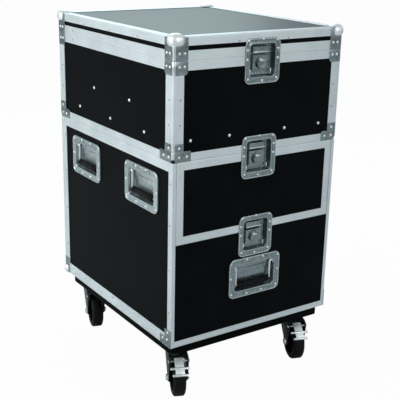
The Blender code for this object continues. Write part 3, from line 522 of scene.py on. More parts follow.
LID_FACE, LID_TOP = 22.5 * MM, 22 * MM
bars = []
for side in (0, 90, 180, 270):
    turned, reach, far = wall_of(side)
    corner = turned @ Vector((-reach, -far, 0)) + Vector((0, 0, TOP_Z))
    run, inward = turned @ Vector((2 * reach, 0, 0)), turned @ Vector((0, LID_TOP, 0))
    bars.append(angle_bar(corner, run, (0, 0, -LID_FACE), inward, 2, [mitre(side, -1), mitre(side, 1)]))
assemble("lid_angles", bars, "lid", ["lid_edging"])


# Upper drawer's frame: a flat bar with a short return behind it, mitred round the front and
# sawn out where the two latches stand.

FRAME_W, FRAME_RETURN = 21.5 * MM, 10 * MM
frame_half = -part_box("drawer_1_frame_left")[0].x
frame_low, frame_high = DRAWER_1_Z, UPPER_Z - 0.3 * MM
for sx, name in ((-1, "left"), (1, "right")):
    bars, saws = [], []
    for level, rise in ((frame_low, 1), (frame_high, -1)):
        point, fall = Vector((sx * frame_half, -HALF_D, level)), Vector((sx, 0, rise))
        corner = (sx * stop, -HALF_D, level)
        run = (sx * (frame_half - stop), 0, 0)
        leg = (0, 0, rise * FRAME_W)
        bars.append(angle_bar(corner, run, leg, (0, FRAME_RETURN, 0), 2, [(point, fall)]))
        saws.append((point, -fall))
    corner = (sx * frame_half, -HALF_D, frame_low)
    run = (0, 0, frame_high - frame_low)
    bars.append(angle_bar(corner, run, (-sx * FRAME_W, 0, 0), (0, FRAME_RETURN, 0), 2, saws))
    node = f"drawer_1_frame_{name}"
    assemble(f"{node}_bars", bars, "drawer_1", [node])


# Corner hardware: zinc-plated steel, pressed and folded round the corners and held by bolts. The
# lid has a ball corner over each brace, and the foot of the upper body has three-way brackets.

PLATE = 1.5 * MM


def zinc_metal(name, dark, light, rough):
    """Zinc plate with a faint spangle, dulled unevenly by a haze."""
    return finish_of(
        name,
        tones=(dark, light),
        stops=(0.2, 0.8),
        grain={"Scale": 260},
        cells=True,
        cloud={"Scale": 70, "Detail": 5},
        share=0.45,
        gloss=(rough - 0.08, rough + 0.12),
        relief=(0.12, 0.4 * MM),
        coat={"Metallic": 0.9},
    )


zinc = zinc_metal("zinc_plate", (0.17, 0.22, 0.235), (0.36, 0.43, 0.45), 0.26)
# A near-white copy of the zinc plate: painted highlight, on folds, wire, pins, heads and small edges.
highlight_zinc = zinc_metal("painted_highlight_zinc", (0.72, 0.77, 0.78), (0.92, 0.96, 0.97), 0.28)
# A lighter copy of the zinc plate: painted highlight on the crests of the dish beads.
bead_highlight = zinc_metal("painted_bead_highlight_zinc", (0.4, 0.48, 0.5), (0.66, 0.74, 0.76), 0.26)
# A near-white copy with a softer gloss: painted light, the even white of the ball corners and the pedals.
lit_zinc = zinc_metal("painted_light_zinc", (0.88, 0.92, 0.93), (0.98, 1, 1), 0.46)
# A lighter copy of the zinc plate: painted light on the handle dishes of the side walls.
side_lit_zinc = zinc_metal("painted_side_light_zinc", (0.3, 0.36, 0.375), (0.6, 0.68, 0.7), 0.32)
# A near-black copy of the zinc plate: painted shade on the castor plates and forks under the case.
shaded = zinc_metal("painted_shade_zinc", (0.02, 0.028, 0.03), (0.07, 0.09, 0.095), 0.34)


def paint_highlight(piece, test, finish=highlight_zinc):
    """Paints a highlight: gives the faces that pass a test a lighter zinc, for the light that bends catch.
    """
    piece.data.materials.append(finish)
    bpy.ops.object.mode_set(mode="EDIT")
    pick("faces", test)
    piece.active_material_index = 1
    bpy.ops.object.material_slot_assign()
    bpy.ops.object.mode_set(mode="OBJECT")
    return piece


def brace(front, side, low, high, low_round, high_round, notch=0):
    """A plate folded round the front left corner, just proud of the edging, perhaps notched below."""
    corner = (-HALF_W - PLATE, -HALF_D - PLATE, low)
    legs = (front + PLATE, 0, 0), (0, side + PLATE, 0)
    plate = draw_angle(corner, (0, 0, high - low), *legs, 0, 5 * MM)
    ends = (-HALF_W + front, -HALF_D + side)
    for level, radius in ((low, low_round), (high, high_round)):
        if radius:
            round_over(
                radius,
                5,
                lambda middle, along: abs(along.z) < 0.01
                and abs(middle.z - level) < NEAR
                and (abs(middle.x - ends[0]) < NEAR or abs(middle.y - ends[1]) < NEAR),
            )
    if notch:
        for point, way in (((-HALF_W + notch, 0, 0), (1, 0, 0)), ((0, -HALF_D + notch, 0), (0, 1, 0))):
            bpy.ops.mesh.select_all(action="SELECT")
            bpy.ops.mesh.bisect(plane_co=point, plane_no=way)
        edge = notch - 0.1 * MM
        pick(
            "verts",
            lambda at, way: abs(at.z - low) < NEAR and at.x < -HALF_W + edge and at.y < -HALF_D + edge,
        )
        bpy.ops.transform.translate(value=(0, 0, notch))
    complete(plate, zinc, ease=0.35 * MM)
    # The faces round the fold take the lighter zinc: a painted highlight along the bend.
    return paint_highlight(plate, lambda middle, way: min(abs(way.x), abs(way.y)) > 0.15 and abs(way.z) < 0.1)


def copy_of(piece):
    """A copy of a piece, with a mesh of its own."""
    copy = piece.copy()
    copy.data = piece.data.copy()
    bpy.context.scene.collection.objects.link(copy)
    return copy


def at_corners(piece, corners):
    """Mirrored copies of a front left corner piece, one for each corner named by its two signs."""
    copies = []
    for sx, sy in corners:
        copy = copy_of(piece)
        copy.scale = (-sx, -sy, 1)
        take(copy)
        bpy.ops.object.transform_apply(scale=True)
        bpy.ops.object.mode_set(mode="EDIT")
        bpy.ops.mesh.select_all(action="SELECT")
        bpy.ops.mesh.normals_make_consistent(inside=False)
        bpy.ops.object.mode_set(mode="OBJECT")
        copies.append(copy)
    bpy.data.objects.remove(piece)
    return copies


def carve(piece, cutter, operation="DIFFERENCE"):
    """Cuts one piece with another, which is then thrown away."""
    bpy.context.view_layer.objects.active = piece
    bpy.ops.object.modifier_add(type="BOOLEAN")
    piece.modifiers[-1].object = cutter
    piece.modifiers[-1].operation = operation
    bpy.ops.object.modifier_apply(modifier=piece.modifiers[-1].name)
    bpy.data.objects.remove(cutter)


def ball(level, up, half, squat):
    """The dome of a ball corner, perhaps flattened, hollowed to sit on the corner of the box."""
    sunk, gap, core_half = 7 * MM, 0.4 * MM, 100 * MM
    middle = (-HALF_W + half - sunk, -HALF_D + half - sunk, level - up * (half * squat - sunk))
    bpy.ops.object.select_all(action="DESELECT")
    bpy.ops.mesh.primitive_cube_add(size=2 * half, location=middle)
    dome = bpy.context.object
    dome.scale.z = squat
    bpy.ops.object.transform_apply(scale=True)
    ease_edges(dome, half * squat - 1 * MM, 8)
    bpy.ops.object.select_all(action="DESELECT")
    bpy.ops.mesh.primitive_cube_add(size=2 * core_half)
    core = bpy.context.object
    reach = core_half + gap
    core.location = (-HALF_W + reach, -HALF_D + reach, level - up * reach)
    carve(dome, core)
    # The dome takes the near-white zinc: painted light for the even white it reflects.
    return complete(dome, lit_zinc, ease=0)


def slab(low, high, level, rise):
    """A flat plate between two opposite corners, drawn at a level and pulled up or down."""
    outline = [(low[0], low[1]), (high[0], low[1]), (high[0], high[1]), (low[0], high[1])]
    plate = draw_outline([(x, y, level) for x, y in outline])
    pull((0, 0, rise))
    return plate


CORNERS = [(sx, sy) for sx in (-1, 1) for sy in (-1, 1)]
BRACE_REACH, CAP_REACH = 40 * MM, 34 * MM
lid_brace = brace(BRACE_REACH, BRACE_REACH, SPLIT_Z + 0.5 * MM, TOP_Z - 2 * MM, 4 * MM, 3 * MM)
ball_corner = ball(TOP_Z, 1, 20 * MM, 0.84)
outer = (-HALF_W - PLATE, -HALF_D - PLATE)
cap = slab(outer, (-HALF_W + CAP_REACH, -HALF_D + CAP_REACH), TOP_Z, 1.2 * MM)
round_over(6 * MM, 5, lambda middle, along: abs(along.z) > 0.99)
complete(cap, zinc, ease=0.35 * MM)
pieces = at_corners(lid_brace, CORNERS) + at_corners(cap, CORNERS)
assemble("lid_corner_braces", pieces, "lid")
assemble("lid_ball_corners", at_corners(ball_corner, CORNERS), "lid")

rim_brace = brace(BRACE_REACH, BRACE_REACH, SPLIT_Z - 34 * MM, SPLIT_Z - 0.5 * MM, 9 * MM, 2 * MM)
pieces = at_corners(rim_brace, CORNERS)
foot_low = brace(52 * MM, 60 * MM, UPPER_Z, UPPER_Z + 27 * MM, 2 * MM, 3 * MM, NOTCH)
foot_high = brace(UP_FRONT, UP_SIDE, UPPER_Z + 26.9 * MM, UPPER_Z + 47 * MM, 0, 3 * MM)
pieces += at_corners(foot_low, CORNERS) + at_corners(foot_high, CORNERS)
assemble("upper_corner_brackets", pieces, "case")

FRONT_CORNERS, REAR_CORNERS = [(-1, -1), (1, -1)], [(-1, 1), (1, 1)]
toe_line = [(0, 0), (53, 0), (53, 25), (30, 25), (30, 50), (0, 50)]
toe = draw_outline([(-HALF_W, -HALF_D + y * MM, BODY_Z + z * MM) for y, z in toe_line])
pull((-PLATE, 0, 0))
pieces = at_corners(complete(toe, zinc, ease=0.35 * MM), FRONT_CORNERS)
heel = brace(UP_FRONT, UP_FRONT, BODY_Z, BODY_Z + 50 * MM, 2 * MM, 4 * MM)
pieces += at_corners(heel, REAR_CORNERS) + at_corners(ball(BODY_Z, -1, 16 * MM, 1), REAR_CORNERS)
assemble("lower_corner_brackets", pieces, "case")


# Rivets, bolts and screws: zinc-plated steel with domed heads. Each is set from outside, through
# a corner plate, the edging or a board, and is fixed behind it.


def domed_head(radius, height):
    """A flattened dome that faces up, modelled once and copied to each place."""
    bpy.ops.object.select_all(action="DESELECT")
    bpy.ops.mesh.primitive_uv_sphere_add(segments=14, ring_count=8, radius=radius)
    head = bpy.context.object
    bpy.ops.object.mode_set(mode="EDIT")
    saw_off((0, 0, -NEAR), (0, 0, -1))
    bpy.ops.mesh.select_all(action="SELECT")
    bpy.ops.transform.resize(value=(1, 1, height / radius), center_override=(0, 0, 0))
    bpy.ops.object.mode_set(mode="OBJECT")
    return head


def set_heads(name, spots, body, radius=4 * MM, height=2.4 * MM, finish=highlight_zinc):
    """Copies a head to each spot, a point and the way out of the surface there."""
    head = domed_head(radius, height)
    heads = []
    for point, out in spots:
        copy = copy_of(head)
        turn = Vector(out).to_track_quat("Z", "Y").to_matrix().to_4x4()
        copy.matrix_world = Matrix.Translation(point) @ turn
        heads.append(complete(copy, finish, ease=0))
    bpy.data.objects.remove(head)
    assemble(name, heads, body)


def mirrored(points, proud):
    """Spots on both faces of all four corners, from (distance from the corner, level) pairs."""
    spots = []
    for sx, sy in CORNERS:
        for along, level in points:
            front = (sx * (HALF_W - along), sy * (HALF_D + proud), level)
            side = (sx * (HALF_W + proud), sy * (HALF_D - along), level)
            spots += [(front, (0, sy, 0)), (side, (sx, 0, 0))]
    return spots


def both_sides(points, out):
    """Spots on the left and the right side, from (y, z) pairs and their distance from the middle."""
    return [((sx * out, y, z), (sx, 0, 0)) for sx in (-1, 1) for y, z in points]


brace_bolts = [(15 * MM, SPLIT_Z + 18 * MM), (30 * MM, SPLIT_Z + 18 * MM)]
set_heads("lid_brace_bolts", mirrored(brace_bolts, PLATE), "lid")
rim_bolts = [(15 * MM, SPLIT_Z - 14 * MM), (30 * MM, SPLIT_Z - 14 * MM)]
foot_bolts = [(17 * MM, UPPER_Z + 36 * MM), (17 * MM, UPPER_Z + 13 * MM), (40 * MM, UPPER_Z + 13 * MM)]
set_heads("upper_bracket_bolts", mirrored(rim_bolts + foot_bolts, PLATE), "case")
toe_bolts = [(-HALF_D + y * MM, BODY_Z + z * MM) for y, z in ((14, 42), (16, 21), (38, 18))]
set_heads("lower_bracket_bolts", both_sides(toe_bolts, HALF_W + PLATE), "case")

BOARD_IN = 1.8 * MM
side_bolts = [(192, 556), (7, 556), (-176, 556), (100.6, 624.7), (-99, 624.7)]
spots = both_sides([(y * MM, BODY_Z + z * MM) for y, z in side_bolts], HALF_W - BOARD_IN)
spots += [((x * MM, BOARD_IN - HALF_D, BODY_Z + 557 * MM), (0, -1, 0)) for x in (-213, -95, 84, 202)]
set_heads("board_bolts", spots, "case", 4.6 * MM, 2.6 * MM)

EDGING_RIVET = (2.3 * MM, 1 * MM, zinc)
post_levels = [BODY_Z + z * MM for z in (100, 220, 340, 450)]
side_rivets = [(228 * MM, SPLIT_Z - 12 * MM)] + [(y * MM, BODY_Z + 25 * MM) for y in (150, 0, -148)]
side_rivets += [(y, level) for y in (-HALF_D + 12 * MM, HALF_D - 24 * MM) for level in post_levels]
spots = mirrored([(20 * MM, BODY_Z + 661 * MM), (20 * MM, BODY_Z + 599 * MM)], 0)
spots += both_sides(side_rivets, HALF_W)
for x in (22 * MM - HALF_W, HALF_W - 22 * MM):
    spots += [((x, HALF_D, level), (0, 1, 0)) for level in post_levels]
set_heads("edging_rivets", spots, "case", *EDGING_RIVET)
level = TOP_Z - 19 * MM
side_rivets = [(y * MM, level) for y in (-145, 5, 155)] + [(228 * MM, SPLIT_Z + 12 * MM)]
spots = both_sides(side_rivets, HALF_W)
spots += [((x * MM, -HALF_D, level), (0, -1, 0)) for x in (-74, 81)]
spots += [((x * MM, HALF_D, level), (0, 1, 0)) for x in (-190, -75, 75, 190)]
set_heads("lid_rivets", spots, "lid", *EDGING_RIVET)


# Recessed handles: a dish pressed from zinc-plated sheet, with a rolled rim and ribs over the
# pocket, and a sprung wire bail in a moulded rubber grip that folds flat inside it.

rubber = finish_of(
    "black_rubber",
    tones=((0.003, 0.003, 0.0035), (0.009, 0.009, 0.01)),
    stops=(0, 1),
    grain={"Scale": 500},
    relief=(0.3, 0.3 * MM),
    coat={"Roughness": 0.55, "Specular IOR Level": 0.12},
)


def blank(width, low, high, radius):
    """A flat sheet blank with round corners that faces -Y at the origin, left in edit mode."""
    half = width / 2
    sheet = draw_outline([(-half, 0, low), (half, 0, low), (half, 0, high), (-half, 0, high)])
    bpy.ops.mesh.select_all(action="SELECT")
    bpy.ops.mesh.bevel(offset=radius, segments=6, affect="VERTICES")
    bpy.ops.mesh.select_mode(type="FACE")
    bpy.ops.mesh.select_all(action="SELECT")
    return sheet


def press(margin, level_change):
    """Draws the selected face in by a margin and pushes it along Y."""
    bpy.ops.mesh.inset(thickness=margin)
    bpy.ops.transform.translate(value=(0, level_change, 0))


def press_to(half_width, low, high, level_change):
    """Draws the selected face to an exact rectangle and pushes it along Y."""
    piece = bpy.context.object
    shape = bmesh.from_edit_mesh(piece.data)
    points = [v.co + piece.location for v in shape.verts if v.select]
    now_half = max(p.x for p in points)
    now_low, now_high = min(p.z for p in points), max(p.z for p in points)
    bpy.ops.mesh.extrude_region_move()
    middle = (0, points[0].y, (now_low + now_high) / 2)
    grow = (half_width / now_half, 1, (high - low) / (now_high - now_low))
    bpy.ops.transform.resize(value=grow, center_override=middle)
    bpy.ops.transform.translate(value=(0, level_change, (low + high - now_low - now_high) / 2))


def thicken(piece, depth):
    """Gives an open sheet its thickness behind the face it shows."""
    bpy.ops.mesh.select_all(action="SELECT")
    bpy.ops.mesh.normals_make_consistent(inside=False)
    shape = bmesh.from_edit_mesh(piece.data)
    lead = max(shape.faces, key=lambda face: face.calc_area())
    if lead.normal.y > 0:
        bpy.ops.mesh.flip_normals()
    bpy.ops.object.mode_set(mode="OBJECT")
    bpy.ops.object.modifier_add(type="SOLIDIFY")
    skin = piece.modifiers[-1]
    skin.thickness = depth
    skin.offset = -1
    skin.use_even_offset = True
    bpy.ops.object.modifier_apply(modifier=skin.name)


def bar_of(low, high, finish, ease=0.5 * MM, round_corners=0):
    """A small plate or bar cut from flat stock, with its edges eased."""
    (x, y, z), (far_x, far_y, far_z) = low, high
    bar = draw_outline([(x, y, z), (far_x, y, z), (far_x, y, far_z), (x, y, far_z)])
    pull((0, far_y - y, 0))
    if round_corners:
        round_over(round_corners, 5, lambda middle, along: abs(along.y) > 0.99)
    return complete(bar, finish, ease=ease)


HANDLE_W, HANDLE_H, POCKET_W, POCKET_H = 172 * MM, 114 * MM, 133 * MM, 75 * MM
POCKET_FLOOR, SHEET = 18.4 * MM, 1 * MM


def rim_bead(width, low, high, radius):
    """The flange of a dish up to the foot of its channel: a blank with a bead rolled round its edge."""
    sheet = blank(width, low, high, radius)
    bpy.ops.transform.translate(value=(0, 1.5 * MM, 0))
    for margin, level_change in ((0.9, -3.4), (1, -0.5), (1.8, 0), (1.3, 1.6)):
        press(margin * MM, level_change * MM)
    return sheet


def sink_pocket(half, low, high, floor_depth):
    """Presses a second bead and a pocket into a flange, down to a flat floor."""
    bend = 2 * MM
    for out, level_change in ((4.4, 0), (2.2, -1.3), (1, 0.1), (0, 1.2)):
        out *= MM
        press_to(half + out, low - out, high + out, level_change * MM)
    press_to(half - 0.8 * MM, low + 0.8 * MM, high - 0.8 * MM, floor_depth - bend)
    press(bend, bend)


def highlight_beads(dish):
    """Paints a highlight on the crests of a dish's beads, in a lighter zinc."""
    return paint_highlight(dish, lambda at, way: at.y < -1.9 * MM, bead_highlight)


def copies_of(parts, at, side):
    """Copies of a group of pieces, turned about Z by an angle in degrees and moved into place."""
    placed = []
    for part in parts:
        copy = copy_of(part)
        take(copy)
        copy.rotation_euler.z = math.radians(side)
        copy.location = at
        bpy.ops.object.transform_apply(location=True, rotation=True)
        placed.append(copy)
    return placed


def discard(parts):
    """Throws away the first of a group once its copies are placed."""
    for part in parts:
        bpy.data.objects.remove(part)


def handle_dish():
    """The pressed dish of a handle, at the origin and facing -Y."""
    sheet = rim_bead(HANDLE_W, -HANDLE_H / 2, HANDLE_H / 2, 18 * MM)
    sink_pocket(POCKET_W / 2, -POCKET_H / 2, POCKET_H / 2, POCKET_FLOOR + SHEET)
    thicken(sheet, SHEET)
    parts = [highlight_beads(complete(sheet, zinc, ease=0.25 * MM))]
    for x in (-40, -20, 20, 40):
        low, high = ((x - 3) * MM, -2.4 * MM, 42.5 * MM), ((x + 3) * MM, -0.5 * MM, 51.5 * MM)
        parts.append(bar_of(low, high, zinc, 0.7 * MM, 2.9 * MM))
    half, back = POCKET_W / 2 - 1.4 * MM, POCKET_FLOOR - 0.5 * MM
    ledge_low, ledge_deep, lip_deep = 22 * MM, 11 * MM, 9.4 * MM
    for low, high, ease in (
        ((-half, ledge_deep, ledge_low), (half, back, 36 * MM), 0.5 * MM),
        ((-half, ledge_deep + 1.8 * MM, 8 * MM), (half, back, ledge_low + 1 * MM), 0.5 * MM),
        ((-half, lip_deep, 20.8 * MM), (half, ledge_deep + 0.5 * MM, 22.4 * MM), 0.4 * MM),
    ):
        parts.append(bar_of(low, high, zinc, ease))
    for x in (-1, 1):
        near, far = sorted((x * (POCKET_W / 2 - 2.2 * MM), x * (POCKET_W / 2 - 0.4 * MM)))
        # The pivot blocks at the pocket walls take the near-white zinc: painted highlight.
        parts.append(bar_of((near, 1 * MM, 23 * MM), (far, 10.5 * MM, 36.5 * MM), highlight_zinc, 0.3 * MM))
    return parts


def bail():
    """The wire bail at the origin: a round bar bent twice, with a stub at each end for the pivot."""
    wire, arm, bend = 3.4 * MM, POCKET_W / 2 - 9 * MM, 5 * MM
    stub = POCKET_W / 2 - 2.4 * MM - arm - bend
    bpy.ops.object.select_all(action="DESELECT")
    across = (0, math.radians(90), 0)
    bpy.ops.mesh.primitive_circle_add(vertices=12, radius=wire, fill_type="NGON", rotation=across)
    bar = bpy.context.object
    bpy.ops.object.transform_apply(rotation=True)
    bpy.ops.object.mode_set(mode="EDIT")
    bpy.ops.mesh.select_all(action="SELECT")
    bpy.ops.transform.translate(value=(-arm - bend - stub, 0, 0))
    pull((stub, 0, 0))
    straight = BAIL_DROP - 2 * bend
    for centre, way, run in (
        ((-arm - bend, 0, -bend), -1, (0, 0, -straight)),
        ((-arm + bend, 0, bend - BAIL_DROP), 1, (2 * arm - 2 * bend, 0, 0)),
        ((arm - bend, 0, bend - BAIL_DROP), 1, (0, 0, straight)),
        ((arm + bend, 0, -bend), -1, (stub, 0, 0)),
    ):
        bpy.ops.mesh.spin(steps=5, angle=math.radians(90) * way, center=centre, axis=(0, 1, 0))
        pull(run)
    return complete(bar, highlight_zinc, ease=0)


def grip():
    """The moulded grip, ribbed near its ends, lying along X at the foot of the bail."""
    length, radius = 104 * MM, 8.4 * MM
    bpy.ops.object.select_all(action="DESELECT")
    across = (0, math.radians(90), 0)
    bpy.ops.mesh.primitive_cylinder_add(vertices=28, radius=radius, depth=length, rotation=across)
    piece = bpy.context.object
    bpy.ops.object.transform_apply(rotation=True)
    bpy.ops.object.mode_set(mode="EDIT")
    for along in (-44, -41, -38, -35, 35, 38, 41, 44):
        for edge in (0.7, -0.7):
            bpy.ops.mesh.select_all(action="SELECT")
            bpy.ops.mesh.bisect(plane_co=((along + edge) * MM, 0, 0), plane_no=(1, 0, 0))
        pick("faces", lambda at, way: abs(way.x) < 0.1 and abs(at.x - along * MM) < 0.3 * MM)
        bpy.ops.mesh.extrude_region_move()
        bpy.ops.transform.resize(value=(1, 0.9, 0.9), center_override=(0, 0, 0))
    bpy.ops.mesh.select_all(action="SELECT")
    bpy.ops.transform.translate(value=(0, 0, -BAIL_DROP))
    return complete(piece, rubber, ease=1 * MM, segments=3)


HANDLES = {
    "left_front": (-90, "case"),
    "left_rear": (-90, "case"),
    "right_front": (90, "case"),
    "right_rear": (90, "case"),
    "drawer": (0, "drawer_2"),
}
PIVOT_RISE, BAIL_DROP, PIVOT_DEEP = 30 * MM, 52 * MM, 7.3 * MM
DISH_RIVET = (3.6 * MM, 2.2 * MM)
RIVETS_AT = ((-79, 45), (-26, 50), (26, 50), (79, 45), (-79, 2), (79, 2))
RIVETS_AT += ((-76, -44), (-25, -49), (25, -49), (76, -44))
dish_parts, bail_part, grip_part = handle_dish(), [bail()], [grip()]
for place, (side, body) in HANDLES.items():
    low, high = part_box(f"handle_dish_{place}")
    middle = (low + high) / 2
    if side:
        middle.x = math.copysign(HALF_W, middle.x)
    else:
        middle.y = -HALF_D
    turned = Matrix.Rotation(math.radians(side), 3, "Z")
    pivot = middle + turned @ Vector((0, PIVOT_DEEP, PIVOT_RISE))
    pressing = copies_of(dish_parts, middle, side)
    # Dishes on the side walls take the lighter zinc: painted light, as the sides read paler than the front.
    for part in pressing:
        for slot in part.material_slots:
            if side and slot.material == zinc:
                slot.material = side_lit_zinc
    assemble(f"dish_{place}", pressing, body, [f"handle_dish_{place}"])
    handle = f"handle_{place}"
    rubber_grip = copies_of(grip_part, pivot, side)
    assemble(f"{handle}_grip", rubber_grip, handle, [handle])
    assemble(f"{handle}_wire", copies_of(bail_part, pivot, side), handle)
    out = turned @ Vector((0, -1, 0))
    spots = [(middle + turned @ Vector((x * MM, -0.7 * MM, z * MM)), out) for x, z in RIVETS_AT]
    set_heads(f"{handle}_rivets", spots, body, *DISH_RIVET)
discard(dish_parts + bail_part + grip_part)


# Turn latches: a dish pressed in one piece and parted at the seam. The half below carries a channel
# with a turning boss, a folding wing and a sliding hook, and the half above carries the keeper.

LATCH_FLOOR = 18.6 * MM
BRIDGE_FRONT, BRIDGE_HALF, BRIDGE_THICK = 6.5 * MM, 26 * MM, 2 * MM
BOSS_FRONT, BOSS_BACK, BOSS_R = 3.3 * MM, 8.8 * MM, 12 * MM
BOSS_AT = (0, 0, -18 * MM)
WING_Y, WING_Z = 1 * MM, -14 * MM


def parted(sheet, level, keep_up):
    """A copy of a dish, sawn at the seam, of which one side is kept."""
    half = copies_of([sheet], (0, 0, 0), 0)[0]
    bpy.ops.object.mode_set(mode="EDIT")
    saw_off((0, 0, level), (0, 0, -1 if keep_up else 1))
    return highlight_beads(complete(half, zinc, ease=0))


def channel(low, high):
    """A folded channel on the floor of the dish, open above and below."""
    half, back, front = BRIDGE_HALF, LATCH_FLOOR + 0.3 * MM, BRIDGE_FRONT
    inner, behind = half - BRIDGE_THICK, front + BRIDGE_THICK
    outline = [(-half, back), (-half, front), (half, front), (half, back), (inner, back)]
    outline += [(inner, behind), (-inner, behind), (-inner, back)]
    piece = draw_outline([(x, y, low) for x, y in outline])
    pull((0, 0, high - low))
    round_over(1.8 * MM, 4, lambda at, way: abs(way.z) > 0.99 and abs(at.y - front) < NEAR)
    return complete(piece, zinc, ease=0)


def cylinder(radius, start, end, axis="Y", at=(0, 0, 0), vertices=32, finish=zinc, ease=0.4 * MM):
    """A short turned pin or disc along an axis, from start to end, with its rims eased."""
    turn = {"X": (0, math.radians(90), 0), "Y": (math.radians(90), 0, 0), "Z": (0, 0, 0)}[axis]
    middle = Vector(at)
    middle["XYZ".index(axis)] += (start + end) / 2
    bpy.ops.object.select_all(action="DESELECT")
    bpy.ops.mesh.primitive_cylinder_add(
        vertices=vertices, radius=radius, depth=end - start, location=middle, rotation=turn
    )
    return complete(bpy.context.object, finish, ease=ease)


def wing_tongue():
    """The wing: a flat tongue with a rounded foot, its face pressed in a little inside the border."""
    neck, half, long, thick = 8 * MM, 15 * MM, 21 * MM, 2 * MM
    shoulder, root = (half - 2 * MM, -3.6 * MM), [(neck, -3.1 * MM), (neck, 1.5 * MM)]
    outline = [(-x, z) for x, z in root[::-1]] + [(-shoulder[0], shoulder[1])]
    for k in range(13):
        t = math.pi * (1 + k / 12)
        outline.append((half * math.cos(t), half - long + half * math.sin(t)))
    outline += [shoulder] + root
    front = WING_Y - thick / 2
    tongue = draw_outline([(x, front, WING_Z + z) for x, z in outline])
    pull((0, thick, 0))
    pick("faces", lambda at, way: abs(at.y - front) < NEAR)
    press(2.4 * MM, 0.7 * MM)
    return complete(tongue, zinc, ease=0.35 * MM)


latch_sheet = rim_bead(LATCH_W, -73 * MM, 43 * MM, 16 * MM)
sink_pocket(40 * MM, -55 * MM, 28 * MM, LATCH_FLOOR + SHEET)
thicken(latch_sheet, SHEET)
complete(latch_sheet, zinc, ease=0.25 * MM)
low_channel = channel(-36 * MM, -1.5 * MM)
carve(low_channel, cylinder(BOSS_R + 0.4 * MM, 0, 30 * MM, at=BOSS_AT, ease=0))
low_parts = [parted(latch_sheet, -0.2 * MM, False), complete(low_channel, zinc, ease=0.3 * MM)]
# The padlock loops take the near-white zinc: painted highlight.
for loop_x in (-33 * MM, 33 * MM):
    for z in (-49, -39):
        at = (loop_x, 0, z * MM)
        low_parts.append(cylinder(1.6 * MM, 8 * MM, LATCH_FLOOR, at=at, vertices=12, finish=highlight_zinc))
    low, high = (loop_x - 1.6 * MM, 6.5 * MM, -50.6 * MM), (loop_x + 1.6 * MM, 9.6 * MM, -37.4 * MM)
    low_parts.append(bar_of(low, high, highlight_zinc, 0.9 * MM))
keeper_channel = complete(channel(5.5 * MM, 20 * MM), zinc, ease=0.3 * MM)
# The keeper's lip takes the near-white zinc: a painted highlight along its edge.
low, high = (-25.4 * MM, 5.5 * MM, 5.5 * MM), (25.4 * MM, 7.2 * MM, 8 * MM)
high_parts = [parted(latch_sheet, 0.2 * MM, True), keeper_channel, bar_of(low, high, highlight_zinc, 0.3 * MM)]
# The boss's middle disc and the wing's barrel take the near-white zinc: painted highlight.
boss_parts = [
    cylinder(BOSS_R, BOSS_FRONT, BOSS_BACK, at=BOSS_AT),
    cylinder(15 * MM, BOSS_BACK, BOSS_BACK + 1.2 * MM, at=BOSS_AT),
    cylinder(7 * MM, 2.7 * MM, BOSS_FRONT + 0.5 * MM, at=BOSS_AT, finish=highlight_zinc),
]
for x in (-1, 1):
    near, far = sorted((x * 8.4 * MM, x * 11 * MM))
    low, high = (near, -0.6 * MM, WING_Z - 2.5 * MM), (far, 4 * MM, WING_Z + 2.5 * MM)
    boss_parts.append(bar_of(low, high, zinc))
wing_parts = [wing_tongue(), cylinder(1.9 * MM, -8 * MM, 8 * MM, "X", (0, WING_Y, WING_Z), 14, highlight_zinc)]

SEAMS = {
    1: (SPLIT_Z, "case", "lid"),
    2: (UPPER_Z, "drawer_1", "case"),
    3: (DRAWER_1_Z, "drawer_2", "drawer_1"),
}
KEEPER_RIVETS = ((-45, 37), (0, 40), (45, 37), (-48.5, 14), (48.5, 14))
LATCH_RIVETS = ((-48.3, -10), (48.3, -10), (-45, -60), (45, -60), (0, -65))
for number, (seam, lower_body, upper_body) in SEAMS.items():
    latch, at = f"latch_{number}", Vector((0, -HALF_D, seam))
    for kind, parts, body, node in (
        ("dish_pressing", low_parts, lower_body, "dish"),
        ("keeper_pressing", high_parts, upper_body, "keeper"),
        ("boss", boss_parts, f"{latch}_spindle", "spindle"),
        ("tongue", wing_parts, f"{latch}_wing", "wing"),
    ):
        placed = copies_of(parts, at, 0)
        assemble(f"{latch}_{kind}", placed, body, [f"{latch}_{node}"])
    for kind, rivets, body in (
        ("dish_rivets", LATCH_RIVETS, lower_body),
        ("keeper_rivets", KEEPER_RIVETS, upper_body),
    ):
        spots = [(at + Vector((x * MM, -0.7 * MM, z * MM)), (0, -1, 0)) for x, z in rivets]
        set_heads(f"{latch}_{kind}", spots, body, *DISH_RIVET)
discard(low_parts + high_parts + boss_parts + wing_parts + [latch_sheet])
refinish([f"latch_{number}_hook" for number in SEAMS], zinc)


# Castor board: a thick board screwed under the base and painted black all over.
# Its two left corners have wide curves, and its two right ones are nearly square.

paint = finish_of(
    "black_paint",
    tones=((0.0006, 0.0008, 0.0008), (0.002, 0.0024, 0.0024)),
    stops=(0, 1),
    grain={"Scale": 160, "Detail": 6},
    relief=(0.4, 0.5 * MM),
    coat={"Roughness": 0.6, "Specular IOR Level": 0.04},
)

low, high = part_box("castor_board")
board = slab(low, high, low.z, high.z - low.z)
for sx, radius in ((-1, 30 * MM), (1, 8 * MM)):
    round_over(radius, 6, lambda middle, along: abs(along.z) > 0.99 and middle.x * sx > high.x - 1 * MM)
board = complete(board, paint, ease=1.5 * MM)
assemble("castor_board_painted", [board], "case", ["castor_board"])


# Castors: a pressed top plate and its ball race, a fork folded from plate, and a rubber tyre on a
# moulded hub that turns on an axle bolt. The two at the front have a brake pedal over the tyre.

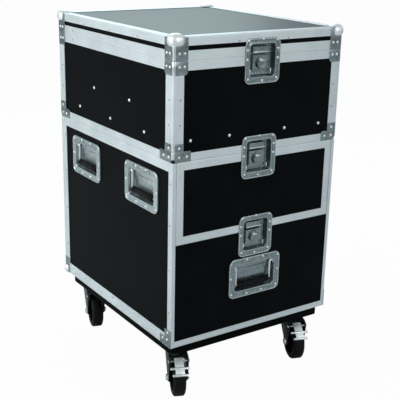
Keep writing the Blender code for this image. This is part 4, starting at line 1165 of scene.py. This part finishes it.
plate_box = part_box("castor_plate_front_left")
wheel_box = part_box("castor_wheel_front_left")
swivel = (plate_box[0] + plate_box[1]) / 2
axle = (wheel_box[0] + wheel_box[1]) / 2
WHEEL_R = axle.z
TRAIL = math.hypot(axle.x - swivel.x, axle.y - swivel.y)
CASTOR_TOP = plate_box[1].z
CROWN_Z, ARM_IN, ARM_OUT = CASTOR_TOP - 10.3 * MM, 24 * MM, 27 * MM
BOLT_HALF, PLATE_THICK = ARM_OUT - 0.3 * MM, 3 * MM
AXLE = (0, -TRAIL, WHEEL_R)


def spun(profile, centre, axis, out, finish, steps=32):
    """A turned piece: a line of (radius, along) pairs in mm, spun round an axis through a centre."""
    centre, axis, out = Vector(centre), Vector(axis), Vector(out)
    piece = draw_line([centre + out * (radius * MM) + axis * (along * MM) for radius, along in profile])
    bpy.ops.mesh.spin(steps=steps, angle=2 * math.pi, center=centre, axis=axis)
    bpy.ops.mesh.select_all(action="SELECT")
    bpy.ops.mesh.remove_doubles(threshold=0.005 * MM)
    return complete(piece, finish, ease=0)


def round_axle(angle, radius):
    """A point (y, z) at an angle in degrees over the front of the axle and a distance from it."""
    t = math.radians(angle)
    return -TRAIL - radius * math.cos(t), WHEEL_R + radius * math.sin(t)


def both_ends(radius, proud, at, vertices, ease=0.6 * MM):
    """The head and the nut of a bolt through the fork, or its washers, as far as they stand proud."""
    pair = []
    for x in (-1, 1):
        start, end = sorted((x * BOLT_HALF, x * (ARM_OUT + proud)))
        pair.append(cylinder(radius, start, end, "X", at, vertices, highlight_zinc, ease))
    return pair


# The castor plate, race and fork take the near-black zinc: painted shade for the shadow under the board.
plate = slab((-42 * MM, -50 * MM), (42 * MM, 50 * MM), CASTOR_TOP, -PLATE_THICK)
round_over(6 * MM, 4, lambda middle, along: abs(along.z) > 0.99)
race = [(0, 4), (33, 4), (34, 3.2), (34, 1.4), (32, 0.2), (34, -1.2), (34, -2.6), (33, -3.2), (0, -3.2)]
race_at = (0, 0, CASTOR_TOP - 7 * MM)
plate_parts = [complete(plate, shaded, ease=0.5 * MM), spun(race, race_at, (0, 0, 1), (1, 0, 0), shaded)]

foot, under, blank_front = 30 * MM, CROWN_Z - 4 * MM, -70 * MM
fold_line = [(-ARM_OUT, foot), (-ARM_OUT, CROWN_Z), (ARM_OUT, CROWN_Z), (ARM_OUT, foot)]
fold_line += [(ARM_IN, foot), (ARM_IN, under), (-ARM_IN, under), (-ARM_IN, foot)]
fork = draw_outline([(x, blank_front, z) for x, z in fold_line])
pull((0, 110 * MM, 0))
round_over(4 * MM, 5, lambda at, way: abs(way.y) > 0.99 and abs(at.z - CROWN_Z) < NEAR)
complete(fork, zinc, ease=0)
pivot_y, pivot_z = round_axle(72, WHEEL_R + 6.5 * MM)
back, front = 34 * MM, -40 * MM
side_line = [(back, CROWN_Z + 10 * MM), (front, CROWN_Z + 10 * MM), (front, CROWN_Z)]
side_line += [(pivot_y - 5 * MM, pivot_z + 5 * MM), (pivot_y - 5 * MM, pivot_z - 5 * MM)]
side_line += [round_axle(-15 * k, 12 * MM) for k in range(13)]
side_line.append((back, CROWN_Z - 8 * MM))
cutter = draw_outline([(-50 * MM, y, z) for y, z in side_line])
pull((100 * MM, 0, 0))
carve(fork, complete(cutter, zinc, ease=0), "INTERSECT")
fork_parts = [complete(fork, shaded, ease=0.7 * MM)]
low, high = (-ARM_IN, front, 108.5 * MM), (ARM_IN, front + 2 * MM, CROWN_Z - 3 * MM)
fork_parts.append(bar_of(low, high, shaded))
pedal_pivot = (0, pivot_y, pivot_z)
fork_parts.append(cylinder(4.8 * MM, -BOLT_HALF, BOLT_HALF, "X", AXLE, 20))
fork_parts += both_ends(8.6 * MM, 5 * MM, AXLE, 6)
fork_parts += both_ends(10.5 * MM, 1.2 * MM, AXLE, 24, 0.3 * MM)
fork_parts += both_ends(4 * MM, 2.5 * MM, pedal_pivot, 16)

tyre = [(36, -15), (41, -16.8), (44, -17.6), (47.5, -16.4), (51.5, -14), (53, -11), (53, 11)]
tyre += [(51.5, 14), (47.5, 16.4), (44, 17.6), (41, 16.8), (36, 15), (36, -15)]
hub = [(5.3, -23.7), (14, -23.7), (15, -22.7), (15.5, -9), (33, -9), (34, -14), (36.3, -14)]
hub += [(radius, -along) for radius, along in reversed(hub)] + hub[:1]
wheel_parts = [spun(tyre, AXLE, (1, 0, 0), (0, 0, 1), rubber, 48)]
wheel_parts.append(spun(hub, AXLE, (1, 0, 0), (0, 0, 1), paint, 40))

PEDAL_HALF, PEDAL_THICK = 12.3 * MM, 3 * MM
bends = [(79, 9), (76, 7.2), (72, 6.5), (66, 5.7), (50, 5.5), (40, 6.4), (30, 8.5)]
near = [round_axle(angle, WHEEL_R + clear * MM) for angle, clear in bends]
far = [round_axle(angle, WHEEL_R + clear * MM + PEDAL_THICK) for angle, clear in bends]
strip = draw_outline([(-PEDAL_HALF, y, z) for y, z in near + far[::-1]])
pull((2 * PEDAL_HALF, 0, 0))
# The pedal takes the near-white zinc: painted light over the shade that the case casts on it.
pedal_parts = [complete(strip, lit_zinc, ease=0.6 * MM)]
for angle, clear, radius, reach in ((49, 7, 3.4, 26), (31, 9.5, 3.6, 21)):
    at = (0, *round_axle(angle, WHEEL_R + clear * MM))
    pedal_parts.append(cylinder(radius * MM, -reach * MM, reach * MM, "X", at, 16, highlight_zinc, 1.2 * MM))
pedal_parts.append(cylinder(3 * MM, -23.7 * MM, 23.7 * MM, "X", pedal_pivot, 14))

screws = []
for place in ("front_left", "front_right", "rear_left", "rear_right"):
    low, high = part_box(f"castor_plate_{place}")
    at = (low + high) / 2
    at.z = 0
    low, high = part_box(f"castor_wheel_{place}")
    ahead = (low + high) / 2 - at
    side = math.degrees(math.atan2(ahead.x, -ahead.y))
    groups = [
        (f"castor_top_{place}", plate_parts, 0, "case", "zinc_steel", "castor_plate"),
        (f"castor_arms_{place}", fork_parts, side, f"castor_{place}", "zinc_steel", "castor_fork"),
        (f"castor_tyre_{place}", wheel_parts, side, f"wheel_{place}", "castor_tyre", "castor_wheel"),
    ]
    if "front" in place:
        groups.append((f"brake_{place}", pedal_parts, side, f"pedal_{place}", "zinc_steel", "castor_pedal"))
    for name, parts, turned_by, body, slot, node in groups:
        assemble(name, copies_of(parts, at, turned_by), body, [f"{node}_{place}"])
    for x in (-34, 34):
        for y in (-42, 42):
            screws.append((at + Vector((x * MM, y * MM, CASTOR_TOP - PLATE_THICK)), (0, 0, -1)))
set_heads("castor_screws", screws, "case", 5 * MM, 3 * MM)
discard(plate_parts + fork_parts + wheel_parts + pedal_parts)


# Lid hinge: a long leaf on the lid and another on the upper body, with knuckles that take turns
# round one pin. Both are zinc-plated and screwed to the rims.

low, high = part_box("case_hinge_leaf")
hinge_half, knuckle, gap = high.x, 2.8 * MM, 0.15 * MM
leaf_in, leaf_out = HALF_D + 0.3 * MM, HALF_D + 1.8 * MM
hinge_at = (0, leaf_in + knuckle, SPLIT_Z)
length = 2 * hinge_half / 5
for body, way, first in (("case", -1, 0), ("lid", 1, 1)):
    levels = sorted((SPLIT_Z + way * 3.6 * MM, SPLIT_Z + way * 22 * MM))
    leaf = (-hinge_half, leaf_in, levels[0]), (hinge_half, leaf_out, levels[1])
    pieces = [bar_of(*leaf, zinc, 0.4 * MM)]
    levels = sorted((SPLIT_Z, SPLIT_Z + way * 4 * MM))
    for k in range(first, 5, 2):
        start = -hinge_half + k * length + gap
        end = start + length - 2 * gap
        pieces.append(cylinder(knuckle, start, end, "X", hinge_at, 20, zinc, 0.3 * MM))
        pieces.append(bar_of((start, leaf_in, levels[0]), (end, leaf_out, levels[1]), zinc, 0.2 * MM))
    if body == "case":
        pin_end = hinge_half - 2 * gap
        pieces.append(cylinder(1.2 * MM, -pin_end, pin_end, "X", hinge_at, 12, highlight_zinc, 0.2 * MM))
    assemble(f"{body}_hinge", pieces, body, [f"{body}_hinge_leaf"])
    level = SPLIT_Z + way * 13 * MM
    spots = [((x * MM, leaf_out, level), (0, 1, 0)) for x in range(-200, 201, 80)]
    set_heads(f"{body}_hinge_screws", spots, body, 3.4 * MM, 1.4 * MM)
refinish(["runner_left", "runner_right"], zinc)
